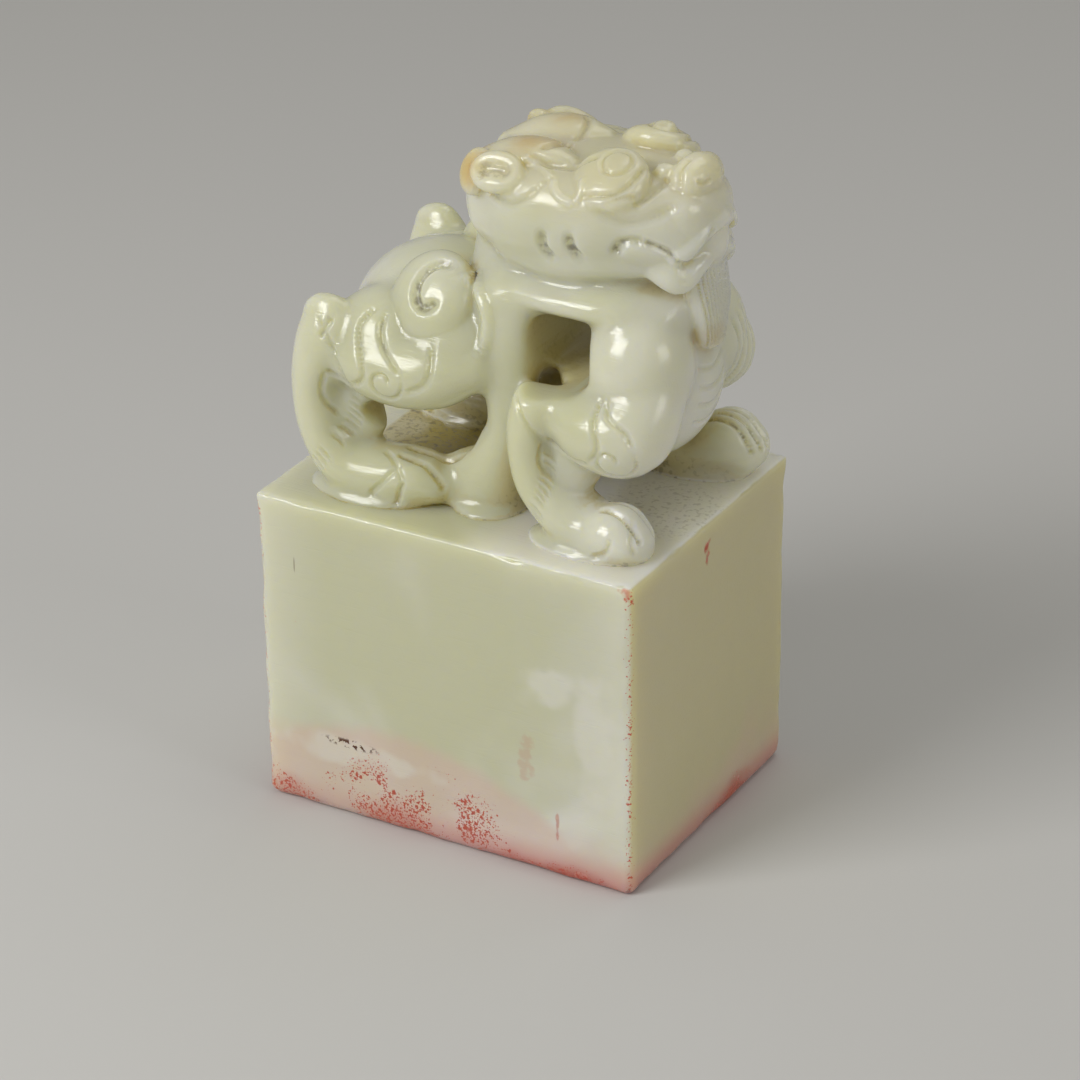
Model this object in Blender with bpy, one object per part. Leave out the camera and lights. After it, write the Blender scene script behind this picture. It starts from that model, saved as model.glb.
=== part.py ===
"""Jade seal with a crouching beast for its knob, block and beast cut from one stone.

Frame: +Z up, the origin at the middle of the printing face, +X the way the beast looks, and
-Y its near side. The beast is laid out in parts of its own height, as a carver's pattern is,
from the middle of the block's top: x forward, y out to the far side, z up.
"""

import math

import bmesh
import bpy
import numpy as np
from mathutils import Matrix, Vector
from mathutils.bvhtree import BVHTree

MM = 0.001

# The block
BLOCK_LENGTH = 37.0 * MM
BLOCK_WIDTH = 28.5 * MM
BLOCK_HEIGHT = 30.0 * MM
BLOCK_EDGE_ROUND = 0.5 * MM

# The beast
BEAST_HEIGHT = 34.0 * MM
PATTERN_PARTS = 34
PART = BEAST_HEIGHT / PATTERN_PARTS
SOLID_GRAIN = 0.3
BEAST_TRIANGLES = 9300

FAR_HOCK_LIFT = 1.4
FAR_PAW_REACH = 0.9
FAR_THIGH_LIFT = 1.4
FAR_EYE_RISE = 0.6

NEAR = -1
FAR = 1
SIDES = (NEAR, FAR)


def clear_scene():
    """Removes whatever the scene holds."""
    for obj in list(bpy.data.objects):
        bpy.data.objects.remove(obj)


def object_from(bm, name):
    """A scene object holding the bmesh, which is freed."""
    mesh = bpy.data.meshes.new(name)
    bm.to_mesh(mesh)
    bm.free()
    obj = bpy.data.objects.new(name, mesh)
    bpy.context.scene.collection.objects.link(obj)
    return obj


def apply_modifiers(obj):
    """Replaces the object's mesh by what its modifiers make of it."""
    graph = bpy.context.evaluated_depsgraph_get()
    made = bpy.data.meshes.new_from_object(obj.evaluated_get(graph))
    old = obj.data
    obj.modifiers.clear()
    obj.data = made
    bpy.data.meshes.remove(old)


def skin(bm, loops):
    """A closed shell over loops of points, one after another, with flat ends."""
    rows = [[bm.verts.new(point) for point in loop] for loop in loops]
    for row, following in zip(rows, rows[1:]):
        for k in range(len(row)):
            j = (k + 1) % len(row)
            bm.faces.new((row[k], row[j], following[j], following[k]))
    bm.faces.new(reversed(rows[0]))
    bm.faces.new(rows[-1])


def blob(bm, centre, radii, turn=(0, 0, 0)):
    """An ellipsoid: centre and radii in parts, and its turn about X, Y and Z in degrees."""
    place = Matrix.Translation(Vector(centre))
    for angle, axis in zip(reversed(turn), "ZYX"):
        place = place @ Matrix.Rotation(math.radians(angle), 4, axis)
    place = place @ Matrix.Diagonal((*radii, 1))
    loops = []
    for fall in np.radians(np.linspace(176, 4, 19)):
        turns = np.radians(np.arange(0, 360, 15))
        loops.append([place @ Vector(at_angles(fall, a)) for a in turns])
    skin(bm, loops)


def at_angles(fall, turn):
    """A point of the unit ball, by its angle from +Z and its turn about Z."""
    return (math.sin(fall) * math.cos(turn), math.sin(fall) * math.sin(turn), math.cos(fall))


def smooth_path(stations, steps):
    """Rows of numbers on the Catmull-Rom curve through the stations."""
    rows = [np.array(s, float) for s in stations]
    rows = [2 * rows[0] - rows[1], *rows, 2 * rows[-1] - rows[-2]]
    found = []
    for a, b, c, d in zip(rows, rows[1:], rows[2:], rows[3:]):
        for k in range(steps):
            t = k / steps
            bend = 2 * a - 5 * b + 4 * c - d
            found.append(b + 0.5 * ((c - a) * t + bend * t**2 + (3 * b - a - 3 * c + d) * t**3))
    return np.array([*found, rows[-2]])


def squared(share, boxy):
    """A sine or cosine pushed out towards a box as boxy rises over 2."""
    return math.copysign(abs(share) ** (2 / boxy), share)


def limb(bm, stations, across=(0, 1, 0), boxy=2, steps=5, sides=20):
    """A rounded bar through stations (x, y, z, half width, half thickness), with domed ends.

    The half width lies along across and the half thickness square to it.
    """
    path = smooth_path(stations, steps)
    points, halves = path[:, :3], np.maximum(path[:, 3:], 0.1)
    tangents = np.gradient(points, axis=0)
    tangents /= np.linalg.norm(tangents, axis=1)[:, None]
    rings = list(zip(points, halves, tangents))
    dome = [(math.sin(a), math.cos(a)) for a in np.radians((28, 52, 74, 86))]
    for reach, width in dome:
        rings.append((points[-1] + tangents[-1] * halves[-1].min() * reach, halves[-1] * width, tangents[-1]))
        rings.insert(0, (points[0] - tangents[0] * halves[0].min() * reach, halves[0] * width, tangents[0]))
    turns = np.arange(sides) * 2 * math.pi / sides
    outline = [(squared(math.cos(a), boxy), squared(math.sin(a), boxy)) for a in turns]
    wide = np.array(across, float)
    loops = []
    for centre, half, tangent in rings:
        side = wide - tangent * (wide @ tangent)
        side /= np.linalg.norm(side)
        rise = np.cross(tangent, side)
        loops.append([centre + side * half[0] * c + rise * half[1] * s for c, s in outline])
    skin(bm, loops)


def fuse(obj, grain, softness):
    """Makes overlapping shells one skin and softens it by about softness, both in parts."""
    remesh = obj.modifiers.new("fuse", "REMESH")
    remesh.mode = "VOXEL"
    remesh.voxel_size = grain
    if softness:
        smooth = obj.modifiers.new("soften", "SMOOTH")
        smooth.factor = 0.5
        smooth.iterations = max(1, round((2 * softness / grain) ** 2))
    apply_modifiers(obj)


def mirrored(stations, side):
    """The stations with y turned to one side of the beast."""
    return [(x, side * y, *rest) for x, y, *rest in stations]


def body(bm):
    """The rump, belly column, chest and neck."""
    blob(bm, (-7.4, 0, 12.9), (8.3, 8.2, 7.5))
    limb(bm, [(-6, 0, 14, 7, 5), (-1, 0, 15, 7, 5), (3, 0, 16.5, 7, 5)])
    for side in SIDES:
        column = [
            (2.0, 5.2, 19.0, 2.6, 3.6),
            (2.2, 5.6, 15.5, 2.6, 3.0),
            (2.4, 5.8, 11.5, 2.5, 2.3),
            (2.2, 5.6, 7.5, 2.4, 2.1),
            (0.8, 5.6, 3.8, 2.6, 3.0),
            (-0.8, 5.6, 0.8, 3.0, 4.4),
        ]
        limb(bm, mirrored(column, side))
        blob(bm, (14.0, side * 4.6, 15.4), (4.8, 4.6, 5.4))
    limb(bm, [(2.6, 0, 19, 5, 3.4), (2.6, 0, 13, 5, 2.2), (2.2, 0, 6, 4, 1.6), (1.0, 0, 0, 5, 2.6)])
    blob(bm, (11.8, 0, 13.0), (7.0, 7.2, 8.0))
    limb(bm, [(1.0, 0, 22.5, 4.8, 4.6), (1.0, 0, 19.5, 6.4, 4.8)])
    limb(bm, [(1.5, 0, 20.2, 7.2, 2.8), (7, 0, 20.5, 8.0, 2.3), (12, 0, 20.5, 7.8, 2.6), (15, 0, 19.5, 6.0, 3)])


def legs(bm, side):
    """A hind and a front leg: hock, shank and foot in one curve, and the thigh over it."""
    lift, reach, thigh = (0, 0, 0) if side == NEAR else (FAR_HOCK_LIFT, FAR_PAW_REACH, FAR_THIGH_LIFT)
    hind = [
        (-13.9, 9.2, 16.6 + lift, 1.3, 2.2),
        (-13.6, 9.2, 14.8 + lift, 2.2, 2.7),
        (-14.3, 9.0, 12.0, 3.0, 2.6),
        (-14.7, 8.9, 8.8, 3.2, 2.3),
        (-14.0, 8.9, 5.4, 3.3, 2.3),
        (-12.0, 8.9, 2.6, 3.3, 2.4),
        (-8.8, 8.6, 2.1, 3.2, 2.3),
        (-5.6, 8.1, 2.1, 3.0, 2.4),
        (-4.0, 7.8, 1.6, 2.6, 1.8),
    ]
    front = [
        (6.8, 8.8, 15.5, 1.2, 1.0),
        (6.7, 8.7, 13.3, 2.1, 1.9),
        (6.2, 8.5, 10.4, 2.9, 2.2),
        (6.2, 8.4, 7.8, 3.1, 2.2),
        (7.1, 8.4, 4.8, 3.2, 2.2),
        (9.5, 8.4, 2.5, 3.2, 2.3),
        (12.2, 8.6, 1.8, 3.0, 2.0),
        (14.4 + reach, 9.1, 2.1 + 1.1 * reach, 3.0, 2.4 + 0.6 * reach),
        (15.8 + reach, 9.4, 1.6 + 1.1 * reach, 2.8, 1.8 + 0.6 * reach),
    ]
    hind_thigh = [
        (-12.0, 8.0, 12.9, 3.2, 3.0),
        (-8.6, 8.2, 12.4, 4.0, 3.6),
        (-4.2, 8.0, 12.4, 4.0, 3.6),
        (-0.6, 7.0, 13.4, 3.2, 2.6),
    ]
    front_thigh = [
        (9.2, 7.6, 11.3, 3.0, 2.6),
        (12.3, 8.0, 10.5 + thigh, 3.7, 3.5),
        (14.8 - 0.3 * thigh, 7.6, 10.9 + thigh, 3.7, 3.9),
        (15.4 - 0.3 * thigh, 5.3, 14.4 + thigh, 3.1, 3.4),
    ]
    hock_web = [(-14.4, 9.2, 16.5 + lift, 0.9, 1.0), (-10.4, 8.8, 14.6 + lift, 1.2, 1.4)]
    for stations in (hind, front, hind_thigh, front_thigh, hock_web):
        limb(bm, mirrored(stations, side))
    for x, y, long, wide in ((-10.0, 8.7, 6.2, 3.8), (0.4, 6.2, 3.6, 3.8), (11.6, 8.8, 6.2, 3.6)):
        blob(bm, (x, side * y, 0.1), (long, wide, 0.8))
    blob(bm, (-9.0, side * 6.4, 13.7), (5.4, 4.8, 4.6))
    blob(bm, (-11.6, side * 7.6, 7.6), (3.2, 2.2, 3.6))
    blob(bm, (-3.0, side * 5.6, 14.5), (5.0, 4.6, 4.4))
    blob(bm, (9.6, side * 7.4, 7.2), (2.6, 2.4, 3.2))


def head(bm):
    """The skull and muzzle over the lower jaw."""
    skull = [
        (0.4, 0, 27.1, 6.4, 4.3),
        (4.0, 0, 27.3, 7.9, 4.7),
        (9.0, 0, 27.8, 8.0, 4.2),
        (13.5, 0, 28.0, 6.7, 3.9),
        (16.4, 0, 28.2, 4.7, 3.1),
    ]
    jaw = [
        (2.0, 0, 24.7, 6.6, 2.8),
        (7.0, 0, 24.4, 7.5, 2.8),
        (11.5, 0, 24.6, 6.9, 2.1),
        (15.0, 0, 24.9, 5.5, 2.0),
        (16.8, 0, 25.0, 4.2, 2.0),
    ]
    limb(bm, skull, boxy=3)
    limb(bm, jaw, boxy=2.8)


def curls(bm):
    """The curl on each hip."""
    for side in SIDES:
        blob(bm, (-4.7, side * 6.5, 18.2), (4.3, 2.4, 4.3), (side * 36, 0, side * 16))


def features(bm):
    """Ears, eyes, brows, nose, lips, teeth and beard, added to the head."""
    for side in SIDES:
        blob(bm, (1.6, side * 6.4, 30.9), (2.5, 1.0, 1.9), (side * 42, 0, 0))
        blob(bm, (-0.8, side * 5.6, 30.2), (1.5, 1.0, 2.1), (side * 30, 0, 0))
        crown = [(-2.4, 2.6, 29.6, 1.8, 1.0), (0.8, 2.9, 31.2, 2.4, 1.2), (4.0, 2.9, 31.7, 2.2, 1.2), (6.8, 3.2, 31.6, 1.0, 0.7)]
        limb(bm, mirrored(crown, side))
        blob(bm, (11.2, side * 4.4, 31.3), (3.4, 3.3, 1.6), (side * -32, 0, side * 4))
        rise = 0 if side == NEAR else FAR_EYE_RISE
        limb(bm, mirrored([(10.7, 4.2, 31.2 + rise, 1.7, 1.4), (11.7, 4.2, 31.1 + rise, 1.7, 1.4)], side), boxy=3)
        blob(bm, (11.6, side * 4.2, 32.6 + rise), (1.0, 0.8, 0.4))
        blob(bm, (14.9, side * 1.7, 31.9), (1.0, 0.8, 0.7))
        blob(bm, (14.8, side * 4.3, 27.2), (4.2, 1.8, 3.0), (0, 8, side * -30))
        upper_lip = [
            (17.2, 4.5, 25.7, 0.7, 0.6),
            (17.9, 3.6, 26.2, 0.8, 0.8),
            (18.6, 2.0, 27.5, 0.8, 0.8),
            (19.1, 0.0, 28.1, 0.8, 0.8),
        ]
        limb(bm, mirrored(upper_lip, side), across=(0, 0.3, 1))
        lower_lip = [
            (13.6, 4.4, 25.2, 1.0, 0.9),
            (16.4, 4.3, 24.2, 1.4, 1.0),
            (17.4, 3.8, 23.5, 1.2, 0.9),
            (18.1, 2.6, 24.3, 1.0, 0.9),
            (18.4, 1.2, 25.0, 0.8, 0.8),
        ]
        limb(bm, mirrored(lower_lip, side), across=(0, 0.3, 1))
    limb(bm, [(16.8, -1.2, 31.2, 1.8, 1.8), (17.0, 0, 31.4, 1.9, 1.9), (16.8, 1.2, 31.2, 1.8, 1.8)], across=(1, 0, 0))
    blob(bm, (18.3, 0, 26.0), (1.3, 1.9, 2.3))
    blob(bm, (17.4, 0, 28.8), (2.0, 3.2, 2.5))
    limb(bm, [(17.0, 0, 25.0, 2.9, 1.8), (18.0, 0, 21.0, 2.7, 1.6), (18.3, 0, 17.4, 1.9, 1.2)])


def tunnel(bm, outline, reach):
    """A straight bar along Y over the outline's (x, z) corners, rounded through them."""
    corners = smooth_path([*outline[-1:], *outline, *outline[:2]], 5)[5:-5]
    skin(bm, [[(x, y, z) for x, z in corners[:-1]] for y in (reach, -reach)])


def pierce(obj):
    """Cuts the two openings through the beast from side to side."""
    bm = bmesh.new()
    tunnel(bm, [(4.6, 18.1), (7.0, 18.4), (9.8, 18.0), (10.9, 16.4), (10.8, 14.2), (9.4, 13.2), (5.3, 13.4)], 16)
    tunnel(bm, [(-10.6, 7.8), (-6.0, 9.1), (-1.0, 9.3), (-0.4, 7.0), (-1.8, 4.4), (-6.8, 4.3)], 16)
    bmesh.ops.recalc_face_normals(bm, faces=bm.faces)
    cutter = object_from(bm, "cutter")
    cut = obj.modifiers.new("pierce", "BOOLEAN")
    cut.object = cutter
    cut.operation = "DIFFERENCE"
    cut.solver = "EXACT"
    apply_modifiers(obj)
    bpy.data.objects.remove(cutter)


def add_to(obj, *builders):
    """The object with more shells beside its own, still to be fused."""
    bm = bmesh.new()
    bm.from_mesh(obj.data)
    bpy.data.objects.remove(obj)
    for builder in builders:
        builder(bm)
    return object_from(bm, "beast")


def bent(start, end, bow=0.0, sway=0.0):
    """Points from start to end, bowed to the left of the way they run and swayed like an S."""
    start, end = np.array(start, float), np.array(end, float)
    along = end - start
    left = np.array((-along[1], along[0])) / np.linalg.norm(along)
    shares = np.linspace(0, 1, 25)
    offsets = bow * np.sin(math.pi * shares) + sway * np.sin(2 * math.pi * shares)
    return start + shares[:, None] * along + offsets[:, None] * left


def coil(centre, outer, inner, begin, turn):
    """Points on a spiral that starts at the angle begin and winds through turn degrees."""
    shares = np.linspace(0, 1, 37)
    angles = np.radians(begin + shares * turn)
    radii = outer + (inner - outer) * shares
    return np.array(centre) + radii[:, None] * np.column_stack((np.cos(angles), np.sin(angles)))


class Chisel:
    """Strokes drawn on the skin of a mesh, cut into it all at once."""

    def __init__(self, obj):
        self.obj = obj
        count = len(obj.data.vertices)
        self.points = np.empty(count * 3)
        obj.data.vertices.foreach_get("co", self.points)
        self.points = self.points.reshape(-1, 3)
        self.normals = np.empty(count * 3)
        obj.data.vertices.foreach_get("normal", self.normals)
        self.normals = self.normals.reshape(-1, 3)
        self.tree = BVHTree.FromPolygons(
            [tuple(p) for p in self.points], [tuple(f.vertices) for f in obj.data.polygons]
        )
        self.depths = np.zeros(count)

    def traced(self, outline, plane, side):
        """The outline's points on the skin, seen square to the flank, the crown or the front."""
        found = []
        for a, b in outline:
            if plane == "flank":
                start, way = (a, side * 40, b), (0, -side, 0)
            elif plane == "crown":
                start, way = (a, side * b, 60), (0, 0, -1)
            else:
                start, way = (60, side * a, b), (-1, 0, 0)
            hit = self.tree.ray_cast(Vector(start), Vector(way))[0]
            if hit is not None:
                found.append(tuple(hit))
        return np.array(found)

    def stroke(self, outline, plane, side, width, depth, fade=0.12):
        """A groove along the outline, width and depth in parts. A negative depth raises a ridge."""
        path = self.traced(outline, plane, side)
        low, high = path.min(axis=0) - width, path.max(axis=0) + width
        near = np.flatnonzero(((self.points > low) & (self.points < high)).all(axis=1))
        gaps = np.linalg.norm(self.points[near][:, None] - path[None], axis=2)
        share = gaps.argmin(axis=1) / (len(path) - 1)
        ends = np.clip(np.minimum(share, 1 - share) / fade, 0.15, 1) if fade else 1
        nearness = np.clip(1 - gaps.min(axis=1) / width, 0, 1)
        cut = depth * ends * nearness**2 * (3 - 2 * nearness)
        current = self.depths[near]
        self.depths[near] = np.where(abs(cut) > abs(current), cut, current)

    def finish(self):
        moved = self.points - self.normals * self.depths[:, None]
        self.obj.data.vertices.foreach_set("co", moved.ravel())
        self.obj.data.update()


def carve_legs(chisel, side):
    """Flames, curls, creases and toes on the hind and front legs."""
    flank = [
        (bent((-12.0, 6.9), (-12.7, 11.7), 0.8), 0.7, 0.35),
        (bent((-12.7, 11.7), (-10.5, 10.8), -0.1), 0.7, 0.4),
        (bent((-10.5, 10.8), (-8.4, 17.7), -0.4, -1.1), 0.8, 0.4),
        (bent((-7.8, 17.4), (-4.9, 13.2), -0.7, -0.2), 0.8, 0.45),
        (coil((-6.5, 12.2), 1.9, 0.4, 30, -400), 0.55, 0.4),
        (bent((-2.9, 15.6), (-4.6, 11.6), 1.3), 0.9, 0.35),
        (bent((-12.4, 16.4), (-13.2, 14.6)), 0.8, 0.4),
        (bent((-8.4, 4.3), (-5.4, 2.6), 0.5), 0.7, 0.3),
        (bent((-5.4, 2.8), (-6.2, 0.3)), 0.7, 0.35),
        (bent((-5.5, 4.5), (-8.7, 0.8)), 0.7, 0.3),
        (bent((9.1, 5.7), (8.1, 9.7), 0.8), 0.7, 0.35),
        (bent((8.1, 9.7), (12.7, 8.9), -0.7), 0.7, 0.4),
        (bent((12.7, 8.9), (13.0, 14.3), -0.7, -0.4), 0.8, 0.4),
        (bent((13.4, 14.2), (16.7, 10.8), 0.2, -0.3), 0.8, 0.4),
        (coil((14.9, 9.4), 2.1, 0.4, 35, -400), 0.55, 0.4),
        (bent((15.4, 14.4), (17.2, 8.8), 1.4), 0.8, 0.3),
        (bent((13.2, 0.6), (15.2, 2.8), -0.6), 0.7, 0.35),
        (bent((15.2, 4.6), (17.0, 1.2), 0.4), 0.7, 0.35),
    ]
    for outline, width, depth in flank:
        chisel.stroke(outline, "flank", side, width, depth)
    for spread in (-1, 1):
        chisel.stroke(bent((13.4, 8.9 + 0.9 * spread), (19.0, 9.2 + 1.3 * spread)), "crown", side, 0.8, 0.45, 0)
        chisel.stroke(bent((-6.6, 8.4 + 0.8 * spread), (-2.0, 8.0 + 1.1 * spread)), "crown", side, 0.8, 0.4, 0)


def carve_curl(chisel, side):
    """The groove that winds into each hip curl, and the ridge beside it."""
    chisel.stroke(coil((-3.9, 19.6), 2.2, 0.5, 45, 330), "flank", side, 1.1, 0.8)
    chisel.stroke(bent((-2.1, 21.0), (0.8, 14.7), 1.9), "flank", side, 0.9, -0.45)


def carve_head(chisel, side):
    """Ear cup, brow, eye folds, nose, mouth and cheek marks."""
    strokes = [
        (bent((0.8, 7.1), (2.4, 7.0)), "crown", 1.8, 0.95, 0),
        (bent((-0.1, 29.1), (6.4, 31.2), -1.3), "flank", 0.7, 0.35, 0.12),
        (bent((3.1, 5.0), (6.8, 6.2), -0.4), "crown", 0.6, -0.25, 0.12),
        (bent((6.6, 31.3), (9.5, 30.0), -0.35), "flank", 0.6, -0.3, 0.12),
        (bent((9.5, 30.0), (9.4, 31.8), -0.2), "flank", 0.6, -0.25, 0.12),
        (bent((3.6, 4.8), (10.1, 4.0), 0.1), "crown", 0.7, 0.35, 0.12),
        (bent((4.3, 4.1), (5.1, 0.2), 0.6), "crown", 0.7, 0.4, 0.12),
        (coil((11.7, 4.2), 1.3, 1.3, 0, 360), "crown", 0.5, 0.3, 0),
        (bent((9.6, 7.0), (14.0, 2.9), 1.9), "crown", 0.6, 0.4, 0.12),
        (bent((11.6, 7.4), (15.4, 2.0), 1.2), "crown", 0.6, 0.35, 0.12),
        (bent((10.8, 30.1), (17.3, 30.3), -1.3), "flank", 0.9, 0.3, 0.12),
        (bent((16.9, 3.1), (16.7, 0.8), -0.3), "crown", 0.6, 0.35, 0.12),
        (bent((2.3, 31.9), (0.9, 31.8), 0.35), "front", 0.45, 0.3, 0.12),
        (bent((12.7, 25.7), (15.3, 27.3), 0.8), "flank", 0.9, 0.6, 0.12),
        (bent((15.0, 27.4), (18.0, 25.0), 0.3), "flank", 0.7, 0.5, 0.12),
        (bent((3.9, 25.0), (1.7, 28.0), 0.2), "front", 0.6, 0.5, 0.12),
        (bent((7.0, 27.5), (7.8, 24.6), -0.8), "flank", 0.8, 0.7, 0.5),
        (bent((9.3, 27.7), (10.3, 24.9), -0.6), "flank", 0.8, 0.7, 0.5),
    ]
    for outline, plane, width, depth, fade in strokes:
        chisel.stroke(outline, plane, side, width, depth, fade)


def carve_front(chisel):
    """Beard, chest scales and the ribs of the far thigh."""
    for k in range(-3, 4):
        chisel.stroke(bent((0.75 * k, 23.6), (0.5 * k, 17.2)), "front", NEAR, 0.42, 0.22)
    for row in range(4):
        chisel.stroke(bent((-2.4, 15.2 - 1.7 * row), (2.4, 15.2 - 1.7 * row), -0.7), "front", NEAR, 0.6, 0.25)
    for k in range(4):
        chisel.stroke(bent((3.6 + 1.1 * k, 17.6), (4.2 + 1.1 * k, 9.6), 0.9), "front", FAR, 0.6, 0.3)


def carved_beast(grain):
    bm = bmesh.new()
    body(bm)
    for side in SIDES:
        legs(bm, side)
    head(bm)
    beast = object_from(bm, "beast")
    fuse(beast, grain, 0)
    pierce(beast)
    fuse(beast, grain, 0.7)
    beast = add_to(beast, curls, features)
    fuse(beast, grain, 0.3)
    chisel = Chisel(beast)
    for side in SIDES:
        carve_legs(chisel, side)
        carve_curl(chisel, side)
        carve_head(chisel, side)
    carve_front(chisel)
    chisel.finish()
    return beast


def finish_material(obj):
    jade = bpy.data.materials.new("celadon jade")
    jade.use_nodes = True
    surface = jade.node_tree.nodes["Principled BSDF"]
    surface.inputs["Base Color"].default_value = (0.52, 0.50, 0.34, 1)
    surface.inputs["Roughness"].default_value = 0.2
    obj.data.materials.clear()
    obj.data.materials.append(jade)


def block(bm):
    """The seal block, its edges worn round, with its top at the pattern's floor."""
    size = (BLOCK_LENGTH / PART, BLOCK_WIDTH / PART, BLOCK_HEIGHT / PART)
    place = Matrix.Translation((0, 0, -size[2] / 2)) @ Matrix.Diagonal((*size, 1))
    bmesh.ops.create_cube(bm, size=1, matrix=place)
    bmesh.ops.bevel(
        bm, geom=bm.edges, offset=BLOCK_EDGE_ROUND / PART, segments=2, profile=0.5, affect="EDGES"
    )


def main():
    clear_scene()
    beast = carved_beast(SOLID_GRAIN)
    thin = beast.modifiers.new("thin", "DECIMATE")
    thin.ratio = BEAST_TRIANGLES / (2 * len(beast.data.polygons))
    apply_modifiers(beast)
    bm = bmesh.new()
    block(bm)
    seal = object_from(bm, "jade_seal")
    join = seal.modifiers.new("one stone", "BOOLEAN")
    join.object = beast
    join.operation = "UNION"
    join.solver = "EXACT"
    apply_modifiers(seal)
    bpy.data.objects.remove(beast)
    seal.data.transform(Matrix.Translation((0, 0, BLOCK_HEIGHT)) @ Matrix.Scale(PART, 4))
    finish_material(seal)


if __name__ == "__main__":
    main()
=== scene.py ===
"""Jade seal with a crouching beast for its knob, block and beast worked from one stone.

Frame: metres, +Z up, the origin at the middle of the printing face, +X the way the beast looks
and -Y its near side. The beast is laid out in parts of its own height, as a carver's pattern is,
from the middle of the block's top: x forward, y out to the far side, z up.
"""

import logging
import math
from collections.abc import Sequence
from dataclasses import dataclass, field
from enum import Enum

import bmesh
import bpy
import numpy as np
from mathutils import Matrix, Vector, noise
from mathutils.kdtree import KDTree
from mathutils.bvhtree import BVHTree


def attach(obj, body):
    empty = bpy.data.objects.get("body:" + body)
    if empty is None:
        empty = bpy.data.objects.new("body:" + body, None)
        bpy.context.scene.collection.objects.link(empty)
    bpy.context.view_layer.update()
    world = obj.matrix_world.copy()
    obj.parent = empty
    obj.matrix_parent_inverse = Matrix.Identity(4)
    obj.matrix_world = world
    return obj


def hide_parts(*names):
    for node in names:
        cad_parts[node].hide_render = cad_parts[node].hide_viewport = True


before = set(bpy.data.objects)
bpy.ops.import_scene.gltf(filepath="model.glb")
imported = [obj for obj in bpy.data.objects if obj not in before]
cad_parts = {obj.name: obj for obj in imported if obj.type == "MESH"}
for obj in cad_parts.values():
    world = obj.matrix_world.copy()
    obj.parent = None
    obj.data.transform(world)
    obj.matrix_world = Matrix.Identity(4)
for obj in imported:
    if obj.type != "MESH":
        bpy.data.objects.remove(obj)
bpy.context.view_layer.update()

LOG = logging.getLogger("jade seal")
MM = 0.001

Row = Sequence[float]
Points = np.ndarray


class Side(Enum):
    """The two flanks of the beast, by the sign of y."""

    NEAR = -1
    FAR = 1


class Plane(Enum):
    """The way a stroke is drawn on the stone, square to a flank, the crown or the front, by its axis."""

    FLANK = 1
    CROWN = 2
    FRONT = 0


def deselect() -> None:
    """Leaves nothing selected in object mode."""
    if bpy.context.mode != "OBJECT":
        bpy.ops.object.mode_set(mode="OBJECT")
    bpy.ops.object.select_all(action="DESELECT")


def activate(obj: bpy.types.Object) -> None:
    """Makes the object the only selected one.

    Args:
        obj: The object that the next operators work on.
    """
    deselect()
    obj.select_set(True)
    bpy.context.view_layer.objects.active = obj


def apply_modifier(obj: bpy.types.Object, kind: str, **settings: object) -> None:
    """Adds one modifier and applies it.

    Args:
        obj: The object whose mesh changes.
        kind: The modifier's type.
        **settings: Values set on the modifier first.
    """
    activate(obj)
    modifier = obj.modifiers.new(kind.lower(), kind)
    for key, value in settings.items():
        setattr(modifier, key, value)
    bpy.ops.object.modifier_apply(modifier=modifier.name)


def object_from(bm: bmesh.types.BMesh, name: str) -> bpy.types.Object:
    """Puts a bmesh in the scene and frees it.

    Args:
        bm: The finished bmesh.
        name: The object's name.

    Returns:
        The new object.
    """
    mesh = bpy.data.meshes.new(name)
    bm.to_mesh(mesh)
    bm.free()
    obj = bpy.data.objects.new(name, mesh)
    bpy.context.scene.collection.objects.link(obj)
    return obj


def joined(pieces: Sequence[bpy.types.Object], name: str) -> bpy.types.Object:
    """Joins several objects into the first.

    Args:
        pieces: The objects, which become one.
        name: The name of the result.

    Returns:
        The one object left.
    """
    activate(pieces[0])
    for piece in pieces[1:]:
        piece.select_set(True)
    bpy.ops.object.join()
    made = bpy.context.view_layer.objects.active
    made.name = name
    activate(made)
    bpy.ops.object.transform_apply(location=True, rotation=True, scale=True)
    return made


def coordinates(mesh: bpy.types.Mesh, key: str = "co") -> Points:
    """Reads a vector of each vertex.

    Args:
        mesh: The mesh that is read.
        key: The vertex property, co or normal.

    Returns:
        One row of three numbers for each vertex.
    """
    found = np.empty(len(mesh.vertices) * 3)
    mesh.vertices.foreach_get(key, found)
    return found.reshape(-1, 3)


def tree_of(mesh: bpy.types.Mesh) -> BVHTree:
    """A search tree over the mesh's faces."""
    points = [tuple(p) for p in coordinates(mesh)]
    return BVHTree.FromPolygons(points, [tuple(f.vertices) for f in mesh.polygons])


def smooth_path(stations: Sequence[Row], steps: int) -> Points:
    """Runs a Catmull-Rom curve through rows of numbers.

    Args:
        stations: The rows that the curve passes through.
        steps: Rows found for each stretch between two stations.

    Returns:
        The rows along the curve.
    """
    rows = [np.array(s, float) for s in stations]
    rows = [2 * rows[0] - rows[1], *rows, 2 * rows[-1] - rows[-2]]
    found = []
    for a, b, c, d in zip(rows, rows[1:], rows[2:], rows[3:]):
        for k in range(steps):
            t = k / steps
            bend = 2 * a - 5 * b + 4 * c - d
            found.append(b + 0.5 * ((c - a) * t + bend * t**2 + (3 * b - a - 3 * c + d) * t**3))
    return np.array([*found, rows[-2]])


def squared(share: float, boxy: float) -> float:
    """A sine or cosine pushed out towards a box as boxy rises over 2."""
    return math.copysign(abs(share) ** (2 / boxy), share)


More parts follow.
